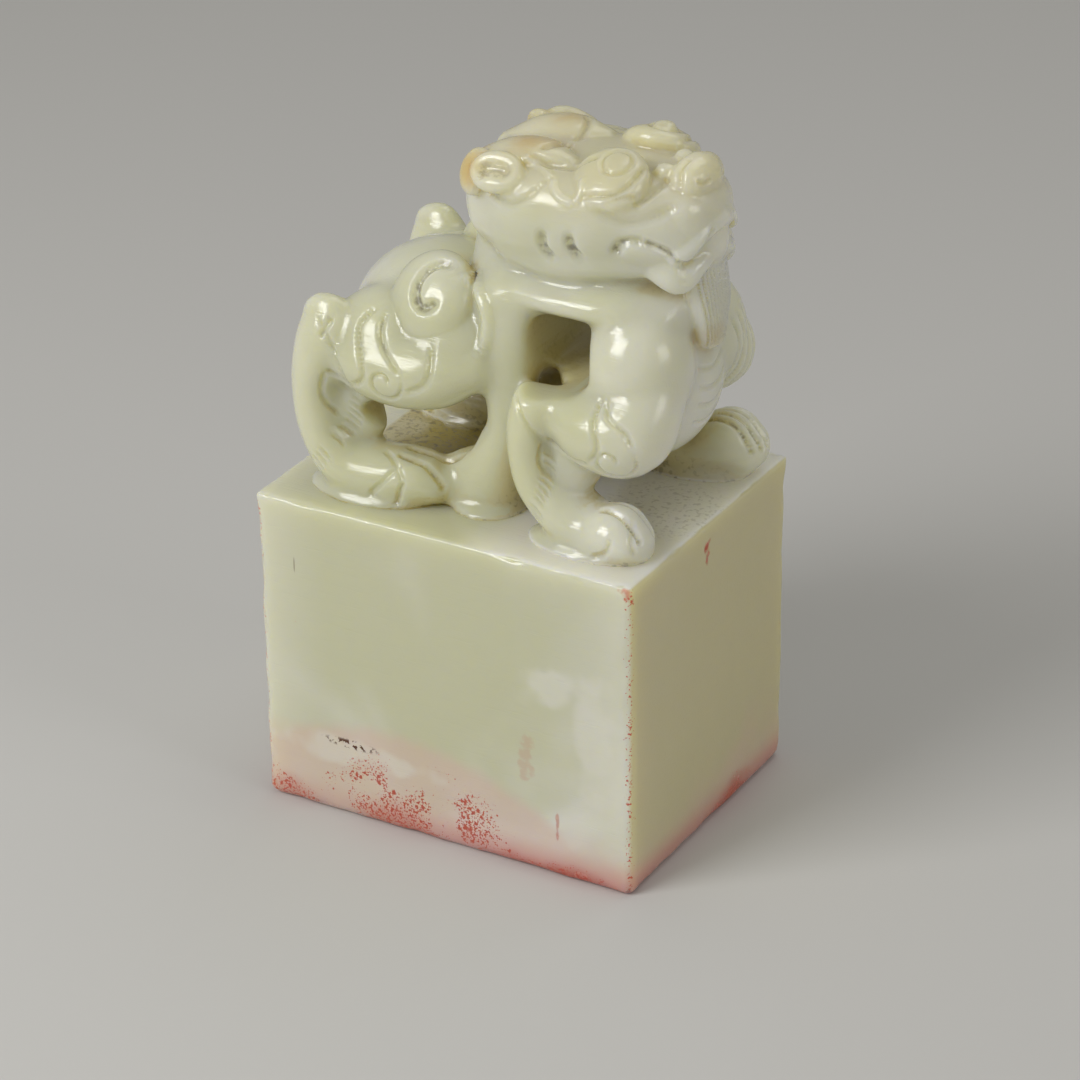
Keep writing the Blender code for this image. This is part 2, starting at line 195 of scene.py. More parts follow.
def bent(start: Row, end: Row, bow: float = 0.0, sway: float = 0.0) -> Points:
    """Draws an arc between two points of a plane.

    Args:
        start: Where the arc starts.
        end: Where it ends.
        bow: How far its middle stands to the left of the way it runs.
        sway: How far its two halves swing apart, like an S.

    Returns:
        Points along the arc.
    """
    first, last = np.array(start, float), np.array(end, float)
    along = last - first
    left = np.array((-along[1], along[0])) / np.linalg.norm(along)
    shares = np.linspace(0, 1, 25)
    offsets = bow * np.sin(math.pi * shares) + sway * np.sin(2 * math.pi * shares)
    return first + shares[:, None] * along + offsets[:, None] * left


def coil(centre: Row, outer: float, inner: float, begin: float, turn: float) -> Points:
    """Draws a spiral in a plane.

    Args:
        centre: Its middle.
        outer: Its first radius.
        inner: Its last radius.
        begin: The angle of its first point, in degrees.
        turn: How far it winds, in degrees.

    Returns:
        Points along the spiral.
    """
    shares = np.linspace(0, 1, 37)
    angles = np.radians(begin + shares * turn)
    radii = outer + (inner - outer) * shares
    return np.array(centre) + radii[:, None] * np.column_stack((np.cos(angles), np.sin(angles)))


@dataclass
class Lump:
    """Closed shells gathered for one carving, in parts of the pattern."""

    shells: list[bpy.types.Object] = field(default_factory=list)
    segments: int = 24
    rings: int = 18
    sides: int = 20
    steps: int = 5
    dome: tuple[float, ...] = (28, 52, 74, 86)
    thinnest: float = 0.1

    def blob(self, centre: Row, radii: Row, turn: Row = (0, 0, 0)) -> None:
        """Adds an ellipsoid.

        Args:
            centre: Its middle.
            radii: Its half axes.
            turn: Its turn about X, Y and Z, in degrees.
        """
        deselect()
        bpy.ops.mesh.primitive_uv_sphere_add(
            segments=self.segments, ring_count=self.rings, radius=1, location=centre,
            rotation=[math.radians(a) for a in turn], scale=radii,
        )
        self.shells.append(bpy.context.active_object)

    def limb(self, stations: Sequence[Row], across: Row = (0, 1, 0), boxy: float = 2) -> None:
        """Adds a rounded bar with domed ends.

        Args:
            stations: Rows of x, y, z, half width along across, and half thickness square to it.
            across: The way its width lies.
            boxy: 2 for an oval section, more for a squarer one.
        """
        path = smooth_path(stations, self.steps)
        points, halves = path[:, :3], np.maximum(path[:, 3:], self.thinnest)
        tangents = np.gradient(points, axis=0)
        tangents /= np.linalg.norm(tangents, axis=1)[:, None]
        rings = list(zip(points, halves, tangents))
        first, last, low, high = tangents[0], tangents[-1], halves[0].min(), halves[-1].min()
        for a in np.radians(self.dome):
            reach, width = math.sin(a), math.cos(a)
            rings.append((points[-1] + last * high * reach, halves[-1] * width, last))
            rings.insert(0, (points[0] - first * low * reach, halves[0] * width, first))
        turns = np.arange(self.sides) * 2 * math.pi / self.sides
        outline = [(squared(math.cos(a), boxy), squared(math.sin(a), boxy)) for a in turns]
        loops = []
        for centre, half, tangent in rings:
            side = np.array(across, float) - tangent * (np.array(across, float) @ tangent)
            side /= np.linalg.norm(side)
            rise = np.cross(tangent, side)
            loops.append([centre + side * half[0] * c + rise * half[1] * s for c, s in outline])
        self.skin(loops)

    def skin(self, loops: Sequence[Sequence[Row]]) -> None:
        """Adds a closed shell over loops of points, one after another, with flat ends.

        Args:
            loops: The loops, each with as many points as the last.
        """
        bm = bmesh.new()
        rows = [[bm.verts.new(point) for point in loop] for loop in loops]
        for row, following in zip(rows, rows[1:]):
            for k in range(len(row)):
                j = (k + 1) % len(row)
                bm.faces.new((row[k], row[j], following[j], following[k]))
        bm.faces.new(reversed(rows[0]))
        bm.faces.new(rows[-1])
        bmesh.ops.recalc_face_normals(bm, faces=bm.faces)
        self.shells.append(object_from(bm, "shell"))

    def tunnel(self, outline: Sequence[Row], reach: float) -> None:
        """Adds a straight bar along Y, rounded through the outline's corners, x and z."""
        corners = smooth_path([*outline[-1:], *outline, *outline[:2]], 5)[5:-5]
        self.skin([[(x, y, z) for x, z in corners[:-1]] for y in (reach, -reach)])

    def fused(self, name: str, grain: float, softness: float) -> bpy.types.Object:
        """Makes the gathered shells one skin.

        Args:
            name: The name of the result.
            grain: The size of a voxel, in parts.
            softness: How far its creases are softened, in parts.

        Returns:
            The one closed object.
        """
        made = joined(self.shells, name)
        self.shells = []
        fuse(made, grain, softness)
        return made


def mirrored(stations: Sequence[Row], side: Side) -> list[Row]:
    """The stations with y turned to one side of the beast."""
    return [(x, side.value * y, *rest) for x, y, *rest in stations]


def fuse(obj: bpy.types.Object, grain: float, softness: float) -> None:
    """Makes overlapping shells one skin and softens its creases.

    Args:
        obj: The object, which changes.
        grain: The size of a voxel, in parts.
        softness: How far creases are softened, in parts.
    """
    apply_modifier(obj, "REMESH", mode="VOXEL", voxel_size=grain)
    if softness:
        apply_modifier(obj, "SMOOTH", factor=0.5, iterations=max(1, round((2 * softness / grain) ** 2)))


class Chisel:
    """Strokes drawn on the skin of a mesh, cut into it all at once."""

    beside: float = 40.0
    away: float = 60.0
    same_mass: float = 4.0
    least_end: float = 0.15
    whole_cut: float = 0.6

    def __init__(self, obj: bpy.types.Object) -> None:
        """Takes up the object.

        Args:
            obj: What is carved.
        """
        self.obj = obj
        self.points = coordinates(obj.data)
        self.normals = coordinates(obj.data, "normal")
        self.tree = tree_of(obj.data)
        self.depths = np.zeros(len(self.points))

    def traced(self, outline: Points, plane: Plane, side: Side, above: float) -> Points:
        """Casts an outline on the skin.

        Args:
            outline: Points in the plane: x and z, x and y, or y and z.
            plane: The way it is seen.
            side: The flank that it lies on.
            above: The height that it falls from on the crown's plane.

        Returns:
            The points on the skin, without those that fell on a mass behind.
        """
        found = []
        sign = side.value
        for a, b in outline:
            if plane is Plane.FLANK:
                start, way = (a, sign * self.beside, b), (0, -sign, 0)
            elif plane is Plane.CROWN:
                start, way = (a, sign * b, above), (0, 0, -1)
            else:
                start, way = (self.away, sign * a, b), (-1, 0, 0)
            hit = self.tree.ray_cast(Vector(start), Vector(way))[0]
            if hit is not None:
                found.append(tuple(hit))
        if not found:
            return np.empty((0, 3))
        hits = np.array(found)
        gaps = hits[:, plane.value]
        return hits[abs(gaps - np.median(gaps)) < self.same_mass]

    def stroke(
        self,
        outline: Points,
        plane: Plane,
        side: Side,
        width: float,
        depth: float,
        fade: float = 0.12,
        above: float = away,
    ) -> None:
        """Cuts a groove along the outline.

        Args:
            outline: Points in the plane.
            plane: The way it is drawn.
            side: The flank that it lies on.
            width: Half the groove's width, in parts.
            depth: Its depth, or its height as a ridge where negative.
            fade: The share of its length over which each end runs out.
            above: The height that it falls from on the crown's plane.
        """
        path = self.traced(outline, plane, side, above)
        if len(path) < 2:
            return
        low, high = path.min(axis=0) - width, path.max(axis=0) + width
        near = np.flatnonzero(((self.points > low) & (self.points < high)).all(axis=1))
        gaps = np.linalg.norm(self.points[near][:, None] - path[None], axis=2)
        share = gaps.argmin(axis=1) / (len(path) - 1)
        ends = np.clip(np.minimum(share, 1 - share) / fade, self.least_end, 1) if fade else 1
        nearness = np.clip(1 - gaps.min(axis=1) / width, 0, 1)
        cut = depth * ends * nearness**2 * (3 - 2 * nearness)
        current = self.depths[near]
        self.depths[near] = np.where(abs(cut) > abs(current), cut, current)

    def finish(self) -> None:
        """Moves the skin in by the strokes' depths, and keeps them as an attribute."""
        moved = self.points - self.normals * self.depths[:, None]
        self.obj.data.vertices.foreach_set("co", moved.ravel())
        kept = self.obj.data.attributes.new("cut", "FLOAT", "POINT")
        kept.data.foreach_set("value", np.clip(self.depths / self.whole_cut, 0, 1).astype(np.float32))
        self.obj.data.update()


@dataclass
class Beast:
    """The crouching beast: masses, openings, features and strokes, in parts of its height."""

    mass_grain: float = 0.3
    skin_grain: float = 0.15
    far_hock_lift: float = 1.4
    far_paw_reach: float = 0.9
    far_thigh_lift: float = 1.4
    far_eye_rise: float = 0.6
    tunnel_reach: float = 16
    flank_width: float = 0.6
    flank_depth: float = 0.8
    head_share: float = 0.8
    hairs: int = 22
    most_triangles: int = 170_000

    def body(self, lump: Lump) -> None:
        """Adds the rump, belly columns, chest and neck.

        Args:
            lump: The shells gathered so far.
        """
        lump.blob((-7.4, 0, 12.9), (8.3, 8.2, 7.5))
        lump.limb([(-6, 0, 14, 7, 5), (-1, 0, 15, 7, 5), (3, 0, 16.5, 7, 5)])
        for side in Side:
            column = [
                (2.0, 5.2, 19.0, 2.6, 3.6), (2.2, 5.6, 15.5, 2.6, 3.0), (2.4, 5.8, 11.5, 2.5, 2.3),
                (2.2, 5.6, 7.5, 2.4, 2.1), (0.8, 5.6, 3.8, 2.6, 3.0), (-0.8, 5.6, 0.8, 3.0, 4.4),
            ]
            lump.limb(mirrored(column, side))
            lump.blob((14.0, side.value * 4.6, 15.4), (4.8, 4.6, 5.4))
        lump.limb([(2.6, 0, 19, 5, 3.4), (2.6, 0, 13, 5, 2.2), (2.2, 0, 6, 4, 1.6), (1.0, 0, 0, 5, 2.6)])
        lump.blob((11.8, 0, 13.0), (7.0, 7.2, 8.0))
        lump.limb([(1.0, 0, 22.5, 4.8, 4.6), (1.0, 0, 19.5, 6.4, 4.8)])
        neck = [(1.5, 0, 20.2, 7.2, 2.8), (7, 0, 20.5, 8, 2.3), (12, 0, 20.5, 7.8, 2.6), (15, 0, 19.5, 6, 3)]
        lump.limb(neck)

    def legs(self, lump: Lump, side: Side) -> None:
        """Adds a hind and a front leg: hock, shank and foot in one curve, and the thigh over it.

        Args:
            lump: The shells gathered so far.
            side: The flank that is worked.
        """
        shifts = (self.far_hock_lift, self.far_paw_reach, self.far_thigh_lift)
        lift, reach, thigh = shifts if side is Side.FAR else (0, 0, 0)
        hind = [
            (-13.9, 9.2, 16.6 + lift, 1.3, 2.2), (-13.6, 9.2, 14.8 + lift, 2.2, 2.7),
            (-14.3, 9.0, 12.0, 3.0, 2.6), (-14.7, 8.9, 8.8, 3.2, 2.3), (-14.0, 8.9, 5.4, 3.3, 2.3),
            (-12.0, 8.9, 2.6, 3.3, 2.4), (-8.8, 8.6, 2.1, 3.2, 2.3), (-5.6, 8.1, 2.1, 3.0, 2.4),
            (-4.0, 7.8, 1.6, 2.6, 1.8),
        ]
        front = [
            (6.8, 8.8, 15.5, 1.2, 1.0), (6.7, 8.7, 13.3, 2.1, 1.9), (6.2, 8.5, 10.4, 2.9, 2.2),
            (6.2, 8.4, 7.8, 3.1, 2.2), (7.1, 8.4, 4.8, 3.2, 2.2), (9.5, 8.4, 2.5, 3.2, 2.3),
            (12.2, 8.6, 1.8, 3.0, 2.0), (14.4 + reach, 9.1, 2.1 + 1.1 * reach, 3.0, 2.4 + 0.6 * reach),
            (15.8 + reach, 9.4, 1.6 + 1.1 * reach, 2.8, 1.8 + 0.6 * reach),
        ]
        hind_thigh = [
            (-12.0, 8.0, 12.9, 3.2, 3.0), (-8.6, 8.2, 12.4, 4.0, 3.6), (-4.2, 8.0, 12.4, 4.0, 3.6),
            (-0.6, 7.0, 13.4, 3.2, 2.6),
        ]
        front_thigh = [
            (9.2, 7.6, 11.3, 3.0, 2.6), (12.3, 8.0, 10.5 + thigh, 3.7, 3.5),
            (14.8 - 0.3 * thigh, 7.6, 10.9 + thigh, 3.7, 3.9),
            (15.4 - 0.3 * thigh, 5.3, 14.4 + thigh, 3.1, 3.4),
        ]
        hock_web = [(-14.4, 9.2, 16.5 + lift, 0.9, 1.0), (-10.4, 8.8, 14.6 + lift, 1.2, 1.4)]
        for stations in (hind, front, hind_thigh, front_thigh, hock_web):
            lump.limb(mirrored(stations, side))
        for x, y, long, wide in ((-10.0, 8.7, 6.2, 3.8), (0.4, 6.2, 3.6, 3.8), (11.6, 8.8, 6.2, 3.6)):
            lump.blob((x, side.value * y, 0.1), (long, wide, 0.8))
        lump.blob((-9.0, side.value * 6.4, 13.7), (5.4, 4.8, 4.6))
        lump.blob((-11.6, side.value * 7.6, 7.6), (3.2, 2.2, 3.6))
        lump.blob((-3.0, side.value * 5.6, 14.5), (5.0, 4.6, 4.4))
        lump.blob((9.6, side.value * 7.4, 7.2), (2.6, 2.4, 3.2))

    def head(self, lump: Lump) -> None:
        """Adds the skull and muzzle over the lower jaw.

        Args:
            lump: The shells gathered so far.
        """
        skull = [
            (0.4, 0, 27.1, 6.4, 4.3), (4.0, 0, 27.3, 7.9, 4.7), (9.0, 0, 27.8, 8.0, 4.2),
            (13.5, 0, 28.0, 6.7, 3.9), (16.4, 0, 28.2, 4.7, 3.1),
        ]
        jaw = [
            (2.0, 0, 24.7, 6.6, 2.8), (7.0, 0, 24.4, 7.5, 2.8), (11.5, 0, 24.6, 6.9, 2.1),
            (15.0, 0, 24.9, 5.5, 2.0), (16.8, 0, 25.0, 4.2, 2.0),
        ]
        lump.limb(skull, boxy=3)
        lump.limb(jaw, boxy=2.8)

    def features(self, lump: Lump) -> None:
        """Adds the hip curls, ears, eyes, brows, nose, lips, teeth and beard.

        Args:
            lump: The shells gathered so far.
        """
        for side in Side:
            sign = side.value
            lump.blob((-4.7, sign * 6.5, 18.2), (4.3, 2.4, 4.3), (sign * 36, 0, sign * 16))
            lump.blob((1.6, sign * 6.4, 30.9), (2.5, 1.0, 1.9), (sign * 42, 0, 0))
            lump.blob((-0.8, sign * 5.6, 30.2), (1.5, 1.0, 2.1), (sign * 30, 0, 0))
            crown = [
                (-2.4, 2.6, 29.6, 1.8, 1.0), (0.8, 2.9, 31.2, 2.4, 1.2), (4.0, 2.9, 31.7, 2.2, 1.2),
                (6.8, 3.2, 31.6, 1.0, 0.7),
            ]
            lump.limb(mirrored(crown, side))
            lump.blob((11.2, sign * 4.4, 31.3), (3.4, 3.3, 1.6), (sign * -32, 0, sign * 4))
            rise = 0 if side is Side.NEAR else self.far_eye_rise
            seat = [(10.7, 4.2, 31.2 + rise, 1.7, 1.4), (11.7, 4.2, 31.1 + rise, 1.7, 1.4)]
            lump.limb(mirrored(seat, side), boxy=3)
            lump.blob((11.6, sign * 4.2, 32.6 + rise), (1.0, 0.8, 0.4))
            lump.blob((14.9, sign * 1.7, 31.9), (1.0, 0.8, 0.7))
            lump.blob((14.8, sign * 4.3, 27.2), (4.2, 1.8, 3.0), (0, 8, sign * -30))
            upper_lip = [
                (17.2, 4.5, 25.7, 0.7, 0.6), (17.9, 3.6, 26.2, 0.8, 0.8), (18.6, 2.0, 27.5, 0.8, 0.8),
                (19.1, 0.0, 28.1, 0.8, 0.8),
            ]
            lump.limb(mirrored(upper_lip, side), across=(0, 0.3, 1))
            lower_lip = [
                (13.6, 4.4, 25.2, 1.0, 0.9), (16.4, 4.3, 24.2, 1.4, 1.0), (17.4, 3.8, 23.5, 1.2, 0.9),
                (18.1, 2.6, 24.3, 1.0, 0.9), (18.4, 1.2, 25.0, 0.8, 0.8),
            ]
            lump.limb(mirrored(lower_lip, side), across=(0, 0.3, 1))
        nose = [(16.8, -1.2, 31.2, 1.8, 1.8), (17.0, 0, 31.4, 1.9, 1.9), (16.8, 1.2, 31.2, 1.8, 1.8)]
        lump.limb(nose, across=(1, 0, 0))
        lump.blob((18.3, 0, 26.0), (1.3, 1.9, 2.3))
        lump.blob((17.4, 0, 28.8), (2.0, 3.2, 2.5))
        lump.limb([(17.0, 0, 25.0, 2.9, 1.8), (18.0, 0, 21.0, 2.7, 1.6), (18.3, 0, 17.4, 1.9, 1.2)])

    def pierce(self, obj: bpy.types.Object) -> None:
        """Cuts the two openings through the beast from side to side, under the neck and the haunch.

        Args:
            obj: The beast, which changes.
        """
        neck = [(4.6, 18.1), (7.0, 18.4), (9.8, 18.0), (10.9, 16.4), (10.8, 14.2), (9.4, 13.2), (5.3, 13.4)]
        haunch = [(-10.6, 7.8), (-6.0, 9.1), (-1.0, 9.3), (-0.4, 7.0), (-1.8, 4.4), (-6.8, 4.3)]
        cutter = Lump()
        for outline in (neck, haunch):
            cutter.tunnel(outline, self.tunnel_reach)
        tunnels = joined(cutter.shells, "tunnels")
        apply_modifier(obj, "BOOLEAN", object=tunnels, operation="DIFFERENCE", solver="EXACT")
        bpy.data.objects.remove(tunnels)

    def carve_legs(self, chisel: Chisel, side: Side) -> None:
        """Cuts flames, curls, creases and toes on the hind and front legs.

        Args:
            chisel: The chisel on the beast's skin.
            side: The flank that is worked.
        """
        flank = [
            (bent((-12.0, 6.9), (-12.7, 11.7), 0.8), 0.7, 0.35),
            (bent((-12.7, 11.7), (-10.5, 10.8), -0.1), 0.7, 0.4),
            (bent((-10.5, 10.8), (-8.4, 17.7), -0.4, -1.1), 0.8, 0.4),
            (bent((-7.8, 17.4), (-4.9, 13.2), -0.7, -0.2), 0.8, 0.45),
            (coil((-6.5, 12.2), 1.9, 0.4, 30, -400), 0.55, 0.4),
            (bent((-2.9, 15.6), (-4.6, 11.6), 1.3), 0.9, 0.35),
            (bent((-12.4, 16.4), (-13.2, 14.6)), 0.8, 0.4),
            (bent((-8.4, 4.3), (-5.4, 2.6), 0.5), 0.7, 0.3),
            (bent((-5.4, 2.8), (-6.2, 0.3)), 0.7, 0.35),
            (bent((-5.5, 4.5), (-8.7, 0.8)), 0.7, 0.3),
            (bent((9.1, 5.7), (8.1, 9.7), 0.8), 0.7, 0.35),
            (bent((8.1, 9.7), (12.7, 8.9), -0.7), 0.7, 0.4),
            (bent((12.7, 8.9), (13.0, 14.3), -0.7, -0.4), 0.8, 0.4),
            (bent((13.4, 14.2), (16.7, 10.8), 0.2, -0.3), 0.8, 0.4),
            (coil((14.9, 9.4), 2.1, 0.4, 35, -400), 0.55, 0.4),
            (bent((13.2, 0.6), (15.2, 2.8), -0.6), 0.7, 0.35),
            (bent((15.2, 4.6), (17.0, 1.2), 0.4), 0.7, 0.35),
        ]
        for outline, width, depth in flank:
            chisel.stroke(outline, Plane.FLANK, side, self.flank_width * width, self.flank_depth * depth)
        shanks = ((bent((-13.9, 15.6), (-14.6, 2.6), 2.9), 0.1), (bent((5.0, 12.6), (6.6, 2.0), 1.9), 0.0))
        for k in range(self.hairs):
            for shank, shift in shanks:
                root = shank[round(k / (self.hairs - 1) * (len(shank) - 1))]
                hair = bent(root + (shift, 0.6), root + (1.4 + shift, -0.8), 0.1)
                chisel.stroke(hair, Plane.FLANK, side, 0.26, 0.22, 0.3)
        far = side is Side.FAR
        for spread in (-1.2, -0.4, 0.4, 1.2) if far else (-1, 1):
            fore = bent((13.4, 8.9 + 0.9 * spread), (19.0, 9.2 + 1.3 * spread))
            hind = bent((-6.6, 8.4 + 0.8 * spread), (-2.0, 8.0 + 1.1 * spread))
            chisel.stroke(fore, Plane.CROWN, side, 0.5, 0.4, 0, 7.4 if far else 6.2)
            chisel.stroke(hind, Plane.CROWN, side, 0.5, 0.35, 0, 6.2)

    def carve_curl(self, chisel: Chisel, side: Side) -> None:
        """Winds the groove into a hip curl and raises the ridge beside it."""
        chisel.stroke(coil((-3.9, 19.6), 2.2, 0.6, 45, 300), Plane.FLANK, side, 0.85, 0.55)
        chisel.stroke(bent((-2.1, 21.0), (0.8, 14.7), 1.9), Plane.FLANK, side, 0.9, -0.45)

    def carve_head(self, chisel: Chisel, side: Side) -> None:
        """Cuts the ear cup, brow, eye folds, nose, mouth and cheek marks.

        Args:
            chisel: The chisel on the beast's skin.
            side: The flank that is worked.
        """
        strokes = [
            (bent((0.8, 7.1), (2.4, 7.0)), Plane.CROWN, 1.8, 0.95, 0),
            (bent((-0.1, 29.1), (6.4, 31.2), -1.3), Plane.FLANK, 0.7, 0.35, 0.12),
            (bent((3.1, 5.0), (6.8, 6.2), -0.4), Plane.CROWN, 0.6, -0.25, 0.12),
            (bent((6.6, 31.3), (9.5, 30.0), -0.35), Plane.FLANK, 0.6, -0.3, 0.12),
            (bent((9.5, 30.0), (9.4, 31.8), -0.2), Plane.FLANK, 0.6, -0.25, 0.12),
            (bent((3.6, 4.8), (10.1, 4.0), 0.1), Plane.CROWN, 0.7, 0.35, 0.12),
            (bent((4.3, 4.1), (5.1, 0.2), 0.6), Plane.CROWN, 0.7, 0.4, 0.12),
            (coil((11.7, 4.2), 1.3, 1.3, 0, 360), Plane.CROWN, 0.5, 0.3, 0),
            (bent((9.6, 7.0), (14.0, 2.9), 1.9), Plane.CROWN, 0.6, 0.4, 0.12),
            (bent((11.6, 7.4), (15.4, 2.0), 1.2), Plane.CROWN, 0.6, 0.35, 0.12),
            (bent((10.8, 30.1), (17.3, 30.3), -1.3), Plane.FLANK, 0.9, 0.3, 0.12),
            (bent((16.9, 3.1), (16.7, 0.8), -0.3), Plane.CROWN, 0.6, 0.35, 0.12),
            (bent((2.3, 31.9), (0.9, 31.8), 0.35), Plane.FRONT, 0.45, 0.3, 0.12),
            (bent((12.7, 25.7), (15.3, 27.3), 0.8), Plane.FLANK, 0.9, 0.6, 0.12),
            (bent((15.0, 27.4), (18.0, 25.0), 0.3), Plane.FLANK, 0.7, 0.5, 0.12),
            (bent((3.9, 25.0), (1.7, 28.0), 0.2), Plane.FRONT, 0.6, 0.5, 0.12),
            (bent((7.0, 27.6), (7.8, 24.5), -0.8), Plane.FLANK, 1.0, 0.7, 0.3),
            (bent((9.3, 27.8), (10.3, 24.8), -0.6), Plane.FLANK, 1.0, 0.7, 0.3),
        ]
        for outline, plane, width, depth, fade in strokes:
            chisel.stroke(outline, plane, side, self.head_share * width, self.head_share * depth, fade)

    def carve_front(self, chisel: Chisel) -> None:
        """Combs the beard and cuts the chest scales and the ribs of the far thigh.

        Args:
            chisel: The chisel on the beast's skin.
        """
        for k in range(-6, 7):
            hair = bent((0.42 * k, 24.0), (0.3 * k - 0.3, 16.6), 0.15, 0.1)
            chisel.stroke(hair, Plane.FRONT, Side.NEAR, 0.26, 0.34, 0.05)
        for row in range(4):
            scale = bent((-2.4, 15.2 - 1.7 * row), (2.4, 15.2 - 1.7 * row), -0.7)
            chisel.stroke(scale, Plane.FRONT, Side.NEAR, 0.4, 0.2)
        for k in range(4):
            rib = bent((3.6 + 1.1 * k, 17.6), (4.2 + 1.1 * k, 9.6), 0.9)
            chisel.stroke(rib, Plane.FRONT, Side.FAR, 0.45, 0.35)

    def build(self) -> bpy.types.Object:
        """Carves the beast.

        Returns:
            The closed beast, in parts, standing on z = 0.
        """
        lump = Lump()
        self.body(lump)
        for side in Side:
            self.legs(lump, side)
        self.head(lump)
        beast = lump.fused("beast", self.mass_grain, 0)
        self.pierce(beast)
        fuse(beast, self.mass_grain, 0.7)
        lump = Lump([beast])
        self.features(lump)
        beast = lump.fused("beast", self.skin_grain, 0.3)
        chisel = Chisel(beast)
        for side in Side:
            self.carve_legs(chisel, side)
            self.carve_curl(chisel, side)
            self.carve_head(chisel, side)
        self.carve_front(chisel)
        chisel.finish()
        apply_modifier(beast, "DECIMATE", ratio=min(1, self.most_triangles / (2 * len(beast.data.polygons))))
        LOG.info("beast: %d faces", len(beast.data.polygons))
        return beast


@dataclass
class Block:
    """The seal block, polished flat, its edges worn round and nicked, in millimetres."""

    length: float = 37.0
    width: float = 28.5
    height: float = 30.0
    rim_round: float = 0.4
    corner_round: float = 1.0
    cuts: int = 44
    worn: float = 0.3
    chipped: float = 2.2
    nick_reach: float = 0.6
    nicks: tuple[Row, ...] = (
        (7.1, -14.2, 0.0, 0.8), (-13.0, -14.2, 0.0, 0.5), (18.4, -6.5, 0.0, 0.7), (3.0, 14.2, 0.0, 0.6),
    )

    def build(self) -> bpy.types.Object:
        """Models the block.

        Returns:
            The closed block, its top at z = 0.
        """
        deselect()
        bpy.ops.mesh.primitive_cube_add(size=2)
        block = bpy.context.active_object
        block.name = "block"
        bpy.ops.object.mode_set(mode="EDIT")
        bpy.ops.mesh.select_all(action="SELECT")
        bpy.ops.mesh.subdivide(number_cuts=self.cuts)
        bpy.ops.object.mode_set(mode="OBJECT")
        half = np.array((self.length, self.width, self.height)) / 2
        points = half * np.sin(coordinates(block.data) * math.pi / 2)
        rise = np.clip((points[:, 2] / half[2] - 0.8) / 0.2, 0, 1)
        radii = self.corner_round + (self.rim_round - self.corner_round) * rise**2 * (3 - 2 * rise)
        waves = np.array([noise.noise(Vector(p) * 0.45) for p in points])
        chips = np.array([noise.noise(Vector(p) * 1.3 + Vector((7, 3, 5))) for p in points])
        radii = radii * (1 + self.worn * waves) + np.clip(chips - 0.42, 0, 1) * self.chipped
        for x, y, z, size in self.nicks:
            gaps = np.linalg.norm(points - np.array((x, y, z + half[2])), axis=1)
            radii = radii + size * np.exp(-((gaps / self.nick_reach) ** 2))
        radii = np.clip(radii, 0.2, 2)[:, None]
        inner = np.clip(points, radii - half, half - radii)
        gaps = points - inner
        reach = np.linalg.norm(gaps, axis=1)[:, None]
        points = inner + gaps * np.minimum(1, radii / reach) * (1 - 0.02 * np.abs(waves))[:, None]
        points[:, 2] -= half[2]
        block.data.vertices.foreach_set("co", points.ravel())
        block.data.update()
        LOG.info("block: %d faces", len(block.data.polygons))
        return block


